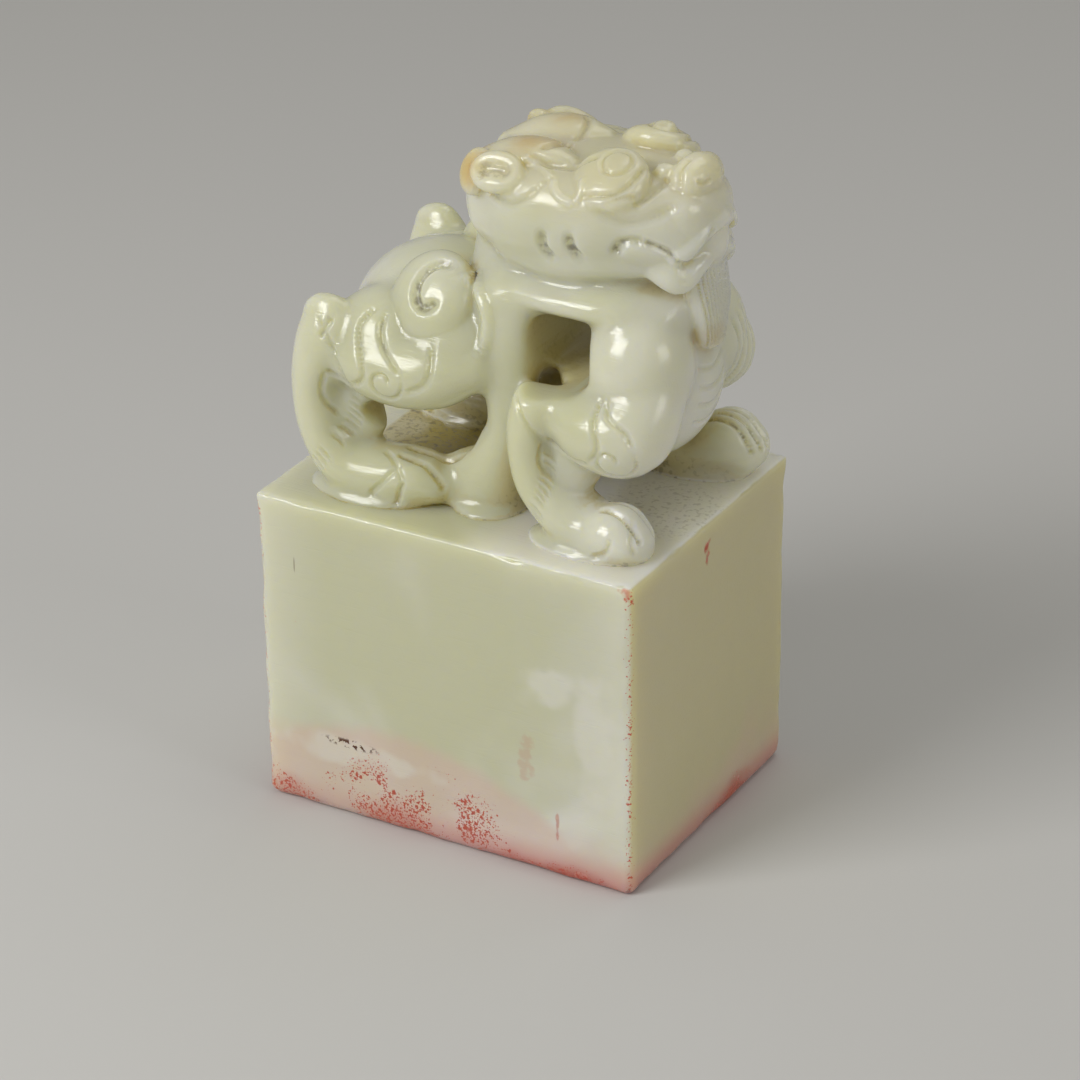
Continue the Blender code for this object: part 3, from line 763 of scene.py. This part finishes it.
@dataclass
class Seal:
    """The whole stone: block and beast in one skin, with its wear and what the skin records."""

    beast: Beast = field(default_factory=Beast)
    block: Block = field(default_factory=Block)
    beast_height: float = 34.0
    pattern_parts: int = 34
    wobble: float = 0.035
    rays: int = 14
    sight: float = 14.0
    widest: float = 0.85
    thick: float = 6.0
    clear: float = 0.05
    cut_reach: float = 0.25
    haunch_floor: Row = (-15.5, -2.0, 7.0)
    tan_spots: tuple[Row, ...] = (
        (-0.9, 5.8, 30.4, 1.9, 1.0), (-2.0, 3.4, 30.2, 2.2, 0.6), (3.0, 2.6, 33.0, 3.4, 0.55),
        (18.2, 0.0, 17.6, 2.5, 0.5),
    )

    @property
    def part(self) -> float:
        """Millimetres in one part of the pattern."""
        return self.beast_height / self.pattern_parts

    def build(self) -> bpy.types.Object:
        """Joins block and beast and works the skin over.

        Returns:
            The finished stone, in metres, in its place.
        """
        beast = self.beast.build()
        cuts = np.empty(len(beast.data.vertices))
        beast.data.attributes["cut"].data.foreach_get("value", cuts)
        lift = np.array((0, 0, self.block.height))
        cut_points = coordinates(beast.data) * self.part + lift
        stone = self.block.build()
        apply_modifier(stone, "BOOLEAN", object=beast, operation="UNION", solver="MANIFOLD")
        bpy.data.objects.remove(beast)
        stone.name = "carved_seal"
        stone.data.transform(Matrix.Scale(self.part, 4))
        stone.data.transform(Matrix.Translation((0, 0, self.block.height)))
        self.wear(stone)
        self.record(stone, cut_points, cuts)
        stone.data.transform(Matrix.Scale(MM, 4))
        activate(stone)
        bpy.ops.object.shade_smooth()
        self.weigh_normals(stone)
        LOG.info("stone: %d faces", len(stone.data.polygons))
        return stone

    def wear(self, stone: bpy.types.Object) -> None:
        """Gives the polished skin the slight unevenness of hand work, in millimetres.

        Args:
            stone: The stone, which changes.
        """
        points, normals = coordinates(stone.data), coordinates(stone.data, "normal")
        waves = np.array([noise.noise(Vector(p) * 0.35) for p in points])
        moved = points - normals * (np.abs(waves) * self.wobble)[:, None]
        stone.data.vertices.foreach_set("co", moved.ravel())
        stone.data.update()

    def weigh_normals(self, stone: bpy.types.Object) -> None:
        """Lets wide flat faces rule the shading beside the narrow ones of the edges.

        Args:
            stone: The stone, which changes.
        """
        mesh = stone.data
        faces = len(mesh.polygons)
        ways, areas, sizes = np.empty(faces * 3), np.empty(faces), np.empty(faces, np.int32)
        corners = np.empty(len(mesh.loops), np.int32)
        mesh.polygons.foreach_get("normal", ways)
        mesh.polygons.foreach_get("area", areas)
        mesh.polygons.foreach_get("loop_total", sizes)
        mesh.loops.foreach_get("vertex_index", corners)
        weighed = np.repeat(ways.reshape(-1, 3) * areas[:, None], sizes, axis=0)
        normals = np.zeros((len(mesh.vertices), 3))
        np.add.at(normals, corners, weighed)
        normals /= np.maximum(np.linalg.norm(normals, axis=1), 1e-20)[:, None]
        mesh.normals_split_custom_set_from_vertices(normals)

    def record(self, stone: bpy.types.Object, cut_points: Points, cuts: Points) -> None:
        """Records on the skin what the finish needs: cuts, hollows, thin places and tan skin.

        Args:
            stone: The stone, in millimetres.
            cut_points: Points of the carved beast.
            cuts: How deep the chisel went at each, from 0 to 1.
        """
        mesh = stone.data
        points = coordinates(mesh)
        hollow, thin = self.hollows(tree_of(mesh), points, coordinates(mesh, "normal"))
        kept = {"cut": self.nearest_cuts(points, cut_points, cuts), "hollow": hollow, "thin": thin}
        for name, values in {**kept, "tan": self.tan_skin(points)}.items():
            layer = mesh.attributes.get(name) or mesh.attributes.new(name, "FLOAT", "POINT")
            layer.data.foreach_set("value", values.astype(np.float32))

    def nearest_cuts(self, points: Points, cut_points: Points, cuts: Points) -> Points:
        """How deep the chisel went at each point, 0 away from the carved beast.

        Args:
            points: The stone's vertices.
            cut_points: Points of the carved beast.
            cuts: How deep the chisel went at each of those.

        Returns:
            One value for each vertex.
        """
        near = KDTree(len(cut_points))
        for k, point in enumerate(cut_points):
            near.insert(point, k)
        near.balance()
        found = [near.find(point) for point in points]
        return np.array([cuts[index] if gap < self.cut_reach else 0 for _, index, gap in found])

    def hollows(self, tree: BVHTree, points: Points, normals: Points) -> tuple[Points, Points]:
        """Looks out from each point, and in through the stone.

        Args:
            tree: The stone's faces.
            points: Its vertices.
            normals: The normal at each.

        Returns:
            How much of each point's sky is stone, and how thin the stone is behind it, from 0 to 1.
        """
        hollow, thin = np.zeros(len(points)), np.zeros(len(points))
        golden = math.pi * (3 - math.sqrt(5))
        west, east, half = self.haunch_floor
        for k, (point, normal) in enumerate(zip(points, normals)):
            out = Vector(normal)
            start = Vector(point) + out * self.clear
            side = out.orthogonal().normalized()
            other = out.cross(side)
            blocked = 0.0
            for ray in range(self.rays):
                rise = 1 - (ray + 0.5) / self.rays * self.widest
                spread = math.sqrt(1 - rise * rise)
                turn = golden * ray
                way = out * rise + side * (spread * math.cos(turn)) + other * (spread * math.sin(turn))
                hit = tree.ray_cast(start, way, self.sight)[3]
                if hit is not None:
                    blocked += 1 - 0.5 * hit / self.sight
            hollow[k] = blocked / self.rays
            # On the block's top the shade measure is cleared, except under the haunch, where it is raised so
            # the finish paints shade and lays dirt there.
            if point[2] < self.block.height + 1.0 and normal[2] > 0.7:
                under = west < point[0] < east and abs(point[1]) < half
                hollow[k] = hollow[k] * 1.25 + 0.3 if under else 0
            through = tree.ray_cast(Vector(point) - out * self.clear, -out, self.thick)[3]
            thin[k] = 0 if through is None else 1 - through / self.thick
        return hollow, thin

    def tan_skin(self, points: Points) -> Points:
        """How tan the skin is at each point.

        Args:
            points: The stone's vertices.

        Returns:
            One value for each, from 0 to 1.
        """
        tan = np.zeros(len(points))
        for x, y, z, reach, share in self.tan_spots:
            for side in Side:
                gaps = np.linalg.norm(points - np.array((x, side.value * y, z + self.block.height)), axis=1)
                tan = np.maximum(tan, share * np.exp(-((gaps / reach) ** 2)))
        return tan


Socket = bpy.types.NodeSocket
Colour = tuple[float, float, float]


class Board:
    """Nodes of one material or group, laid and wired by name."""

    def __init__(self, tree: bpy.types.NodeTree) -> None:
        """Takes up a node tree.

        Args:
            tree: The tree that nodes are added to.
        """
        self.tree = tree

    def add(self, kind: str, inputs: dict[str | int, object], **settings: object) -> bpy.types.Node:
        """Adds a node.

        Args:
            kind: The node's type, without ShaderNode.
            inputs: A value or an output socket for each input named.
            **settings: Values set on the node first.

        Returns:
            The node.
        """
        node = self.tree.nodes.new("ShaderNode" + kind)
        for key, value in settings.items():
            setattr(node, key, value)
        for key, value in inputs.items():
            if isinstance(value, Socket):
                self.tree.links.new(value, node.inputs[key])
            else:
                node.inputs[key].default_value = value
        return node

    def math(self, operation: str, *values: Socket | float) -> Socket:
        """One operation on up to three numbers."""
        return self.add("Math", dict(enumerate(values)), operation=operation).outputs[0]

    def chain(self, operation: str, *values: Socket | float) -> Socket:
        """One operation carried through all the values.

        Args:
            operation: The operation on two numbers.
            *values: What it joins, from the first on.

        Returns:
            The result's socket.
        """
        made = values[0]
        for value in values[1:]:
            made = self.math(operation, made, value)
        return made

    def product(self, *values: Socket | float) -> Socket:
        """All the values multiplied."""
        return self.chain("MULTIPLY", *values)

    def total(self, *values: Socket | float) -> Socket:
        """The sum of the values."""
        return self.chain("ADD", *values)

    def most(self, *values: Socket | float) -> Socket:
        """The greatest of the values."""
        return self.chain("MAXIMUM", *values)

    def window(self, value: Socket, start: float, end: float, low: float = 0, high: float = 1) -> Socket:
        """A smooth step of the value, low at start and high at end, which may be below start."""
        ranges = {"Value": value, "From Min": start, "From Max": end, "To Min": low, "To Max": high}
        return self.add("MapRange", ranges, interpolation_type="SMOOTHSTEP").outputs["Result"]

    def noise(self, place: Socket, scale: float, detail: float = 3, distortion: float = 0) -> Socket:
        """Cloudy noise, scale in waves to a metre."""
        ranges = {"Vector": place, "Scale": scale, "Detail": detail, "Distortion": distortion}
        return self.add("TexNoise", ranges).outputs["Fac"]

    def tint(self, factor: Socket, first: Socket | Colour, second: Colour) -> Socket:
        """A colour between two, by the factor."""
        under, over = (value if isinstance(value, Socket) else (*value, 1) for value in (first, second))
        return self.add("Mix", {0: factor, 6: under, 7: over}, data_type="RGBA").outputs[2]

    def coated(self, colour: Socket, coats: Sequence[tuple[Socket, Colour]]) -> Socket:
        """A colour under several tints, the last on top.

        Args:
            colour: The lowest colour.
            coats: Where each tint lies, and its colour.

        Returns:
            The colour's socket.
        """
        for factor, coat in coats:
            colour = self.tint(factor, colour, coat)
        return colour

    def kept(self, name: str) -> Socket:
        """What the skin records under a name."""
        return self.add("Attribute", {}, attribute_name=name).outputs["Fac"]

    def mask(self, group: bpy.types.NodeTree, inputs: dict[str | int, object]) -> Socket:
        """Places a mask group and gives its mask."""
        return self.add("Group", inputs, node_tree=group).outputs["Mask"]


def group_board(name: str, titles: Sequence[str]) -> tuple[Board, dict[str, Socket], Socket]:
    """Starts a node group that puts out one mask.

    Args:
        name: The group's name.
        titles: Its inputs, of which Vector is a vector and the rest are numbers.

    Returns:
        Its board, its inputs as seen inside by name, and its mask as seen inside.
    """
    tree = bpy.data.node_groups.new(name, "ShaderNodeTree")
    for title in titles:
        kind = "NodeSocketVector" if title == "Vector" else "NodeSocketFloat"
        tree.interface.new_socket(title, in_out="INPUT", socket_type=kind)
    tree.interface.new_socket("Mask", in_out="OUTPUT", socket_type="NodeSocketFloat")
    start, end = tree.nodes.new("NodeGroupInput"), tree.nodes.new("NodeGroupOutput")
    return Board(tree), {socket.name: socket for socket in start.outputs if socket.name}, end.inputs["Mask"]


def dab_group() -> bpy.types.NodeTree:
    """Builds a soft oval mask in the plane of two coordinates, its edge broken by Rag.

    Returns:
        The group.
    """
    board, given, mask = group_board("dab", ("A", "B", "Centre A", "Centre B", "Half A", "Half B", "Rag"))
    total = given["Rag"]
    for axis in "AB":
        gap = board.math("SUBTRACT", given[axis], given["Centre " + axis])
        share = board.math("DIVIDE", gap, given["Half " + axis])
        total = board.total(total, board.product(share, share))
    board.tree.links.new(board.window(total, 1.25, 0.25), mask)
    return board.tree


def speck_group() -> bpy.types.NodeTree:
    """Builds a mask of small grains that thicken where Cover rises from 0 to 1.

    Returns:
        The group.
    """
    board, given, mask = group_board("specks", ("Vector", "Scale", "Cover"))
    grains = board.noise(given["Vector"], given["Scale"], 2)
    least = board.math("MULTIPLY_ADD", given["Cover"], -0.3, 0.8)
    board.tree.links.new(board.window(board.math("SUBTRACT", grains, least), 0, 0.05), mask)
    return board.tree


@dataclass(frozen=True)
class Mark:
    """A soft oval on the stone: its middle and half sizes, in millimetres, and its strength."""

    middle: tuple[float, float]
    half: tuple[float, float]
    strength: float = 1.0


class Skin(Board):
    """The board of the stone's material, with coordinates in millimetres and the mask groups."""

    def __init__(self, tree: bpy.types.NodeTree, block: Block) -> None:
        """Takes up the material's nodes.

        Args:
            tree: The material's nodes.
            block: The block, by whose faces the marks are laid.
        """
        super().__init__(tree)
        self.end, self.flank, self.top = block.length / 2, block.width / 2, block.height
        self.place = self.add("TexCoord", {}).outputs["Object"]
        metres = self.add("SeparateXYZ", {"Vector": self.place}).outputs
        self.x, self.y, self.z = (self.product(metres[axis], 1 / MM) for axis in "XYZ")
        self.drifted = self.total(self.z, self.cloud(60, 3, 0.3, 0.7, -3.0, 3.0))
        self.front = self.window(self.y, 0.25 - self.flank, 0.05 - self.flank)
        self.dab, self.specks = dab_group(), speck_group()

    def cloud(
        self, scale: float, detail: float, start: float, end: float, low: float = 0, high: float = 1
    ) -> Socket:
        """A smooth step of cloudy noise."""
        return self.window(self.noise(self.place, scale, detail), start, end, low, high)

    def grains(self, scale: float, cover: Socket | float) -> Socket:
        """Small grains over the stone."""
        return self.mask(self.specks, {"Vector": self.place, "Scale": scale, "Cover": cover})

    def oval(self, a: Socket, b: Socket, mark: Mark, rag: Socket | float = 0) -> Socket:
        """A mark in the plane of two coordinates.

        Args:
            a: The first coordinate.
            b: The second.
            mark: Where the mark lies.
            rag: How its edge is broken.

        Returns:
            The mark's mask.
        """
        inputs = {"A": a, "B": b, "Rag": rag}
        for axis, middle, half in zip("AB", mark.middle, mark.half):
            inputs |= {"Centre " + axis: middle, "Half " + axis: half}
        return self.product(self.mask(self.dab, inputs), mark.strength)

    def ledge(self, gone: float, whole: float) -> Socket:
        """The block's top and the roots of the beast, whole up to one height over it and gone at another."""
        below = self.window(self.z, self.top - 0.2, self.top - 0.05)
        return self.product(below, self.window(self.z, self.top + gone, self.top + whole))


@dataclass(frozen=True)
class JadeFinish:
    """Polished celadon jade, with cloud, dirt in the cuts, old seal paste, and painted light and shade in
    its colour.

    The marks lie on the front by x and z, those of the right face by y and z, those of the top by x
    and y, and the slanting cloud by axes turned along it.
    """

    celadon: Colour = (0.69, 0.69, 0.57)
    # The cloud's own whitish colour, also laid as a painted glow on the block's top.
    milk_and_painted_glow: Colour = (0.80, 0.79, 0.71)
    leaf: Colour = (0.63, 0.63, 0.44)
    # Painted shade: a light tint for shallow hollows, the right face and the crown.
    painted_shade_honey: Colour = (0.64, 0.57, 0.31)
    # Painted shade: a deep tint for the deepest hollows.
    painted_shade_olive: Colour = (0.52, 0.43, 0.14)
    # Painted grey for light passing through thin stone.
    painted_translucency_ash: Colour = (0.50, 0.46, 0.38)
    tan: Colour = (0.60, 0.43, 0.18)
    dirt: Colour = (0.12, 0.09, 0.04)
    blush: Colour = (0.75, 0.53, 0.46)
    rose: Colour = (0.66, 0.22, 0.20)
    paste: Colour = (0.55, 0.055, 0.015)
    rust: Colour = (0.14, 0.06, 0.03)
    roughness: float = 0.14
    density: float = 1.6
    glow_reach: Colour = (1.0, 0.92, 0.5)
    glow_scale: float = 4.5
    stain_arch: float = 0.018
    slant: tuple[float, float] = (0.76, 0.65)
    slanting_cloud: Mark = Mark((19.8, 7.6), (5.8, 2.2), 0.6)
    veils: tuple[Mark, ...] = (Mark((15.2, 14.5), (2.2, 8.0), 0.55), Mark((-9.0, 6.5), (10.0, 1.6), 0.5))
    pores: Mark = Mark((-3, 2.8), (11, 5.5), 0.9)
    right_dash: Mark = Mark((-0.6, 27.4), (0.6, 1.5))
    front_dashes: tuple[Mark, ...] = (
        Mark((8.3, 11.0), (0.8, 2.4), 0.2),
        Mark((11.3, 5.2), (0.18, 1.3), 0.5),
        Mark((18.0, 29.6), (1.0, 0.9), 0.7),
    )
    brown_line: Mark = Mark((-9.5, 7.4), (3, 0.5))
    hair: Mark = Mark((-14.7, 23.9), (0.08, 0.8), 0.5)
    top_dirt: Mark = Mark((14, 0), (6, 6), 0.22)

    def material(self, block: Block) -> bpy.types.Material:
        """Builds the material.

        Args:
            block: The block, by whose faces the marks are laid.

        Returns:
            The jade material.
        """
        made = bpy.data.materials.new("celadon_jade")
        made.use_nodes = True
        surface = made.node_tree.nodes["Principled BSDF"]
        surface.inputs["Subsurface Weight"].default_value = 1.0
        surface.inputs["Subsurface Radius"].default_value = self.glow_reach
        surface.inputs["Subsurface Scale"].default_value = self.glow_scale * MM
        surface.inputs["IOR"].default_value = self.density
        skin = Skin(made.node_tree, block)
        colour, soiled = self.paste_marks(skin, self.stains(skin, self.stone_colour(skin)))
        colour, dirty = self.carving_dirt(skin, colour)
        rough = skin.cloud(700, 1, 0.4, 0.75, self.roughness, self.roughness + 0.1)
        rough = skin.total(rough, skin.product(dirty, 0.35), skin.product(soiled, 0.2))
        for name, socket in (("Base Color", colour), ("Roughness", rough), ("Normal", self.scratches(skin))):
            skin.tree.links.new(socket, surface.inputs[name])
        return made

    def stone_colour(self, skin: Skin) -> Socket:
        """The stone's colour: cloud and tan skin of its own, with painted light: grey where thin, for light
        through the stone; shade where the stone hides a point's sky, on the right face and on the crown; a
        glow on the block's top before the beast.

        Args:
            skin: The material's board.

        Returns:
            The colour.
        """
        veined = skin.window(skin.noise(skin.place, 55, 4, 0.8), 0.42, 0.66)
        leafy = skin.window(skin.noise(skin.place, 34, 3, 0.4), 0.60, 0.42)
        ragged = skin.total(skin.kept("tan"), skin.cloud(260, 3, 0.3, 0.7, -0.15, 0.15))
        face = skin.window(skin.x, skin.end - 0.4, skin.end - 0.1)
        coats = (
            (leafy, self.leaf),
            # Painted translucency: thin parts greyed, for light passing through the stone.
            (skin.window(skin.kept("thin"), 0.25, 0.9, 0, 0.75), self.painted_translucency_ash),
            # Painted shade: a light, then a deep tint where stone hides a point's sky.
            (skin.window(skin.kept("hollow"), 0.36, 0.62, 0, 0.8), self.painted_shade_honey),
            (skin.window(skin.kept("hollow"), 0.6, 0.9, 0, 0.95), self.painted_shade_olive),
            (skin.window(skin.math("ABSOLUTE", skin.x), 11, 18, 0, 0.4), self.milk_and_painted_glow),
            # Painted light: the block's top before the beast whitened, for light glowing through it.
            (skin.product(skin.ledge(0.4, 0.1), skin.window(skin.x, 0, 6)), self.milk_and_painted_glow),
            # Painted shade: the block's right face tinted darker and yellower, away from the key light.
            (skin.product(face, skin.window(skin.z, skin.top, skin.top - 0.2), 0.8), self.painted_shade_honey),
            # Painted shade: the top of the head tinted darker under the light from above.
            (skin.window(skin.z, skin.top + 27, skin.top + 33, 0, 0.5), self.painted_shade_honey),
            (skin.window(ragged, 0.15, 0.9, 0, 0.85), self.tan),
        )
        return skin.coated(skin.tint(veined, self.celadon, self.milk_and_painted_glow), coats)

    def stains(self, skin: Skin, colour: Socket) -> Socket:
        """The colour with the arched stain, the flush along the foot and the clouds of the front.

        Args:
            skin: The material's board.
            colour: The colour so far.

        Returns:
            The new colour.
        """
        off = skin.total(skin.x, 5)
        rim = skin.total(skin.product(off, off, self.stain_arch), skin.noise(skin.place, 500, 1))
        arch = skin.product(skin.window(skin.total(skin.z, rim), 11.0, 9.0, 0, 0.5), skin.front)
        stain = skin.most(arch, skin.window(skin.drifted, 8.5, 3.0, 0, 0.45))
        flush = skin.product(skin.window(skin.z, 3.6, 0.2), skin.window(skin.x, -12, 6, 0.35, 0.75))
        along, across = self.slant
        run = skin.total(skin.product(skin.x, along), skin.product(skin.z, across))
        rise = skin.total(skin.product(skin.x, -across), skin.product(skin.z, along))
        rag = skin.cloud(260, 2, 0.3, 0.7, 0.8, -0.3)
        clouds = [skin.oval(run, rise, self.slanting_cloud, rag)]
        clouds += [skin.oval(skin.x, skin.z, veil, rag) for veil in self.veils]
        coats = [(stain, self.blush), (flush, self.rose)]
        coats += [(skin.product(cloud, skin.front), self.milk_and_painted_glow) for cloud in clouds]
        return skin.coated(colour, coats)

    def paste_marks(self, skin: Skin, colour: Socket) -> tuple[Socket, Socket]:
        """Lays red seal paste along the edges and in the pores, and brown flecks on the front.

        Args:
            skin: The material's board.
            colour: The colour so far.

        Returns:
            The new colour, and how much paste there is.
        """
        arris = skin.product(
            skin.window(skin.math("ABSOLUTE", skin.x), skin.end - 1.1, skin.end - 0.1),
            skin.window(skin.math("ABSOLUTE", skin.y), skin.flank - 1.05, skin.flank - 0.15),
            0.85,
        )
        pores = skin.product(skin.oval(skin.x, skin.z, self.pores), skin.cloud(380, 2, 0.38, 0.58, 0.35, 1))
        below = skin.window(skin.z, skin.top + 1, skin.top - 1)
        cover = skin.most(skin.product(arris, below), skin.window(skin.drifted, 3.6, -1.0), pores)
        grains = skin.most(skin.grains(5200, cover), skin.grains(3000, skin.product(cover, 0.95)))
        rag = skin.cloud(900, 2, 0.3, 0.7, -0.6, 0.9)
        right = skin.window(skin.x, skin.end - 0.3, skin.end - 0.1)
        dashes = [skin.product(skin.oval(skin.y, skin.z, self.right_dash, rag), right)]
        for dash in self.front_dashes:
            dashes.append(skin.product(skin.oval(skin.x, skin.z, dash, rag), skin.front))
        smear = skin.product(skin.window(skin.drifted, 2.2, -1.5), skin.window(skin.x, -6, 8, 0.4, 0.75))
        paste = skin.most(skin.product(skin.most(skin.product(grains, below), *dashes), 0.9), smear)
        line = skin.product(skin.oval(skin.x, skin.z, self.brown_line), skin.grains(2400, 0.9))
        brown = skin.product(skin.most(line, skin.oval(skin.x, skin.z, self.hair)), skin.front)
        return skin.coated(colour, ((brown, self.rust), (paste, self.paste))), paste

    def carving_dirt(self, skin: Skin, colour: Socket) -> tuple[Socket, Socket]:
        """Lays old dirt in the cuts, under the beast and on the block's top before it.

        Args:
            skin: The material's board.
            colour: The colour so far.

        Returns:
            The new colour, and how dirty it is.
        """
        broken = skin.product(skin.cloud(1500, 2, 0.40, 0.62), skin.cloud(220, 1, 0.38, 0.62, 0.2, 1))
        cuts = skin.product(skin.window(skin.kept("cut"), 0.28, 0.75), broken, 0.5)
        floor = skin.window(skin.z, skin.top + 3, skin.top + 1, 0.12, 0.55)
        deep = skin.product(skin.window(skin.kept("hollow"), 0.45, 0.8), floor)
        before = skin.product(skin.oval(skin.x, skin.y, self.top_dirt), skin.ledge(0.6, 0.2))
        dirty = skin.most(cuts, skin.product(skin.most(deep, before), skin.cloud(2200, 1, 0.52, 0.66)))
        return skin.tint(dirty, colour, self.dirt), dirty

    def scratches(self, skin: Skin) -> Socket:
        """The normal, bumped by hair-fine scratches and the last unevenness of the polish.

        Args:
            skin: The material's board.

        Returns:
            The bumped normal.
        """
        height = skin.product(skin.noise(skin.place, 320, 1), 0.6)
        for turn in ((0.3, 0.9, 0.4), (1.2, 0.2, 2.0)):
            turned = skin.add("Mapping", {"Vector": skin.place, "Rotation": turn, "Scale": (0.06, 1, 1)})
            fine = skin.window(skin.noise(turned.outputs["Vector"], 5200, 1), 0.60, 0.74)
            height = skin.total(height, skin.product(fine, -0.25))
        bump = {"Height": height, "Strength": 0.22, "Distance": 0.12 * MM}
        return skin.add("Bump", bump).outputs["Normal"]


@dataclass(frozen=True)
class Studio:
    """A pale sweep, soft lights and the camera, placed about the stone in millimetres."""

    azimuth: float = 30.12
    elevation: float = 27.51
    roll: float = -0.62
    distance: float = 387.8
    aim_right: float = 1.18
    aim_rise: float = 20.83
    lens: float = 143.67

    def axes(self) -> tuple[Vector, Vector, Vector]:
        """The camera's right, up and back in the frame.

        Returns:
            Three unit vectors.
        """
        yaw, pitch, roll = (math.radians(a) for a in (self.azimuth, self.elevation, self.roll))
        back = Vector((math.sin(yaw) * math.cos(pitch), -math.cos(yaw) * math.cos(pitch), math.sin(pitch)))
        level = Vector((math.cos(yaw), math.sin(yaw), 0))
        rise = back.cross(level)
        right = level * math.cos(roll) + rise * math.sin(roll)
        return right, back.cross(right), back

    def camera(self) -> bpy.types.Object:
        """Places the camera where the photograph was taken.

        Returns:
            The camera.
        """
        right, up, back = self.axes()
        lens = bpy.data.cameras.new("camera")
        lens.lens = self.lens
        lens.clip_start, lens.clip_end = 0.01, 10
        camera = bpy.data.objects.new("camera", lens)
        bpy.context.scene.collection.objects.link(camera)
        turned = Matrix((right, up, back)).transposed().to_4x4()
        spot = (back * self.distance + right * self.aim_right + up * self.aim_rise) * MM
        camera.matrix_world = Matrix.Translation(spot) @ turned
        bpy.context.scene.camera = camera
        return camera

    def light(self, name: str, spot: Row, size: float, power: float) -> None:
        """Adds a soft square light that faces the stone.

        Args:
            name: The light's name.
            spot: Its place in the camera's right, up and back, in millimetres.
            size: Its side, in millimetres.
            power: Its power in watts.
        """
        right, up, back = self.axes()
        lamp = bpy.data.lights.new(name, "AREA")
        lamp.size = size * MM
        lamp.energy = power
        holder = bpy.data.objects.new(name, lamp)
        bpy.context.scene.collection.objects.link(holder)
        aim = Vector((0, 0, 30 * MM))
        holder.location = aim + (right * spot[0] + up * spot[1] + back * spot[2]) * MM
        holder.rotation_euler = (aim - holder.location).to_track_quat("-Z", "Y").to_euler()

    def floor(self) -> None:
        """Lays a wide pale floor under the stone."""
        deselect()
        bpy.ops.mesh.primitive_plane_add(size=4, location=(0, 0, 0))
        floor = bpy.context.active_object
        floor.name = "floor"
        bpy.ops.object.transform_apply(location=True, rotation=True, scale=True)
        paper = bpy.data.materials.new("pale_paper")
        paper.use_nodes = True
        surface = paper.node_tree.nodes["Principled BSDF"]
        surface.inputs["Base Color"].default_value = (0.62, 0.61, 0.59, 1)
        surface.inputs["Roughness"].default_value = 0.8
        floor.data.materials.append(paper)

    def world(self) -> None:
        """Fills the room with a dim even light."""
        world = bpy.data.worlds.new("studio")
        world.use_nodes = True
        background = world.node_tree.nodes["Background"]
        background.inputs["Color"].default_value = (0.84, 0.83, 0.78, 1)
        background.inputs["Strength"].default_value = 0.34
        bpy.context.scene.world = world

    def build(self) -> None:
        """Sets the whole studio up."""
        self.floor()
        self.world()
        self.camera()
        self.light("key", (-280, 120, 260), 200, 0.9)
        self.light("top", (90, 340, 60), 200, 0.15)
        self.light("fill", (280, 60, 260), 160, 0.2)
        bpy.context.scene.view_settings.view_transform = "Standard"


def main() -> None:
    """Builds the stone, dresses it and lights it."""
    logging.basicConfig(level=logging.INFO, format="%(name)s: %(message)s")
    seal = Seal()
    stone = seal.build()
    stone.data.materials.clear()
    stone.data.materials.append(JadeFinish().material(seal.block))
    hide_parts("jade_seal")
    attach(stone, "root")
    Studio().build()
    LOG.info("carved_seal rides on root")


if __name__ == "__main__":
    main()
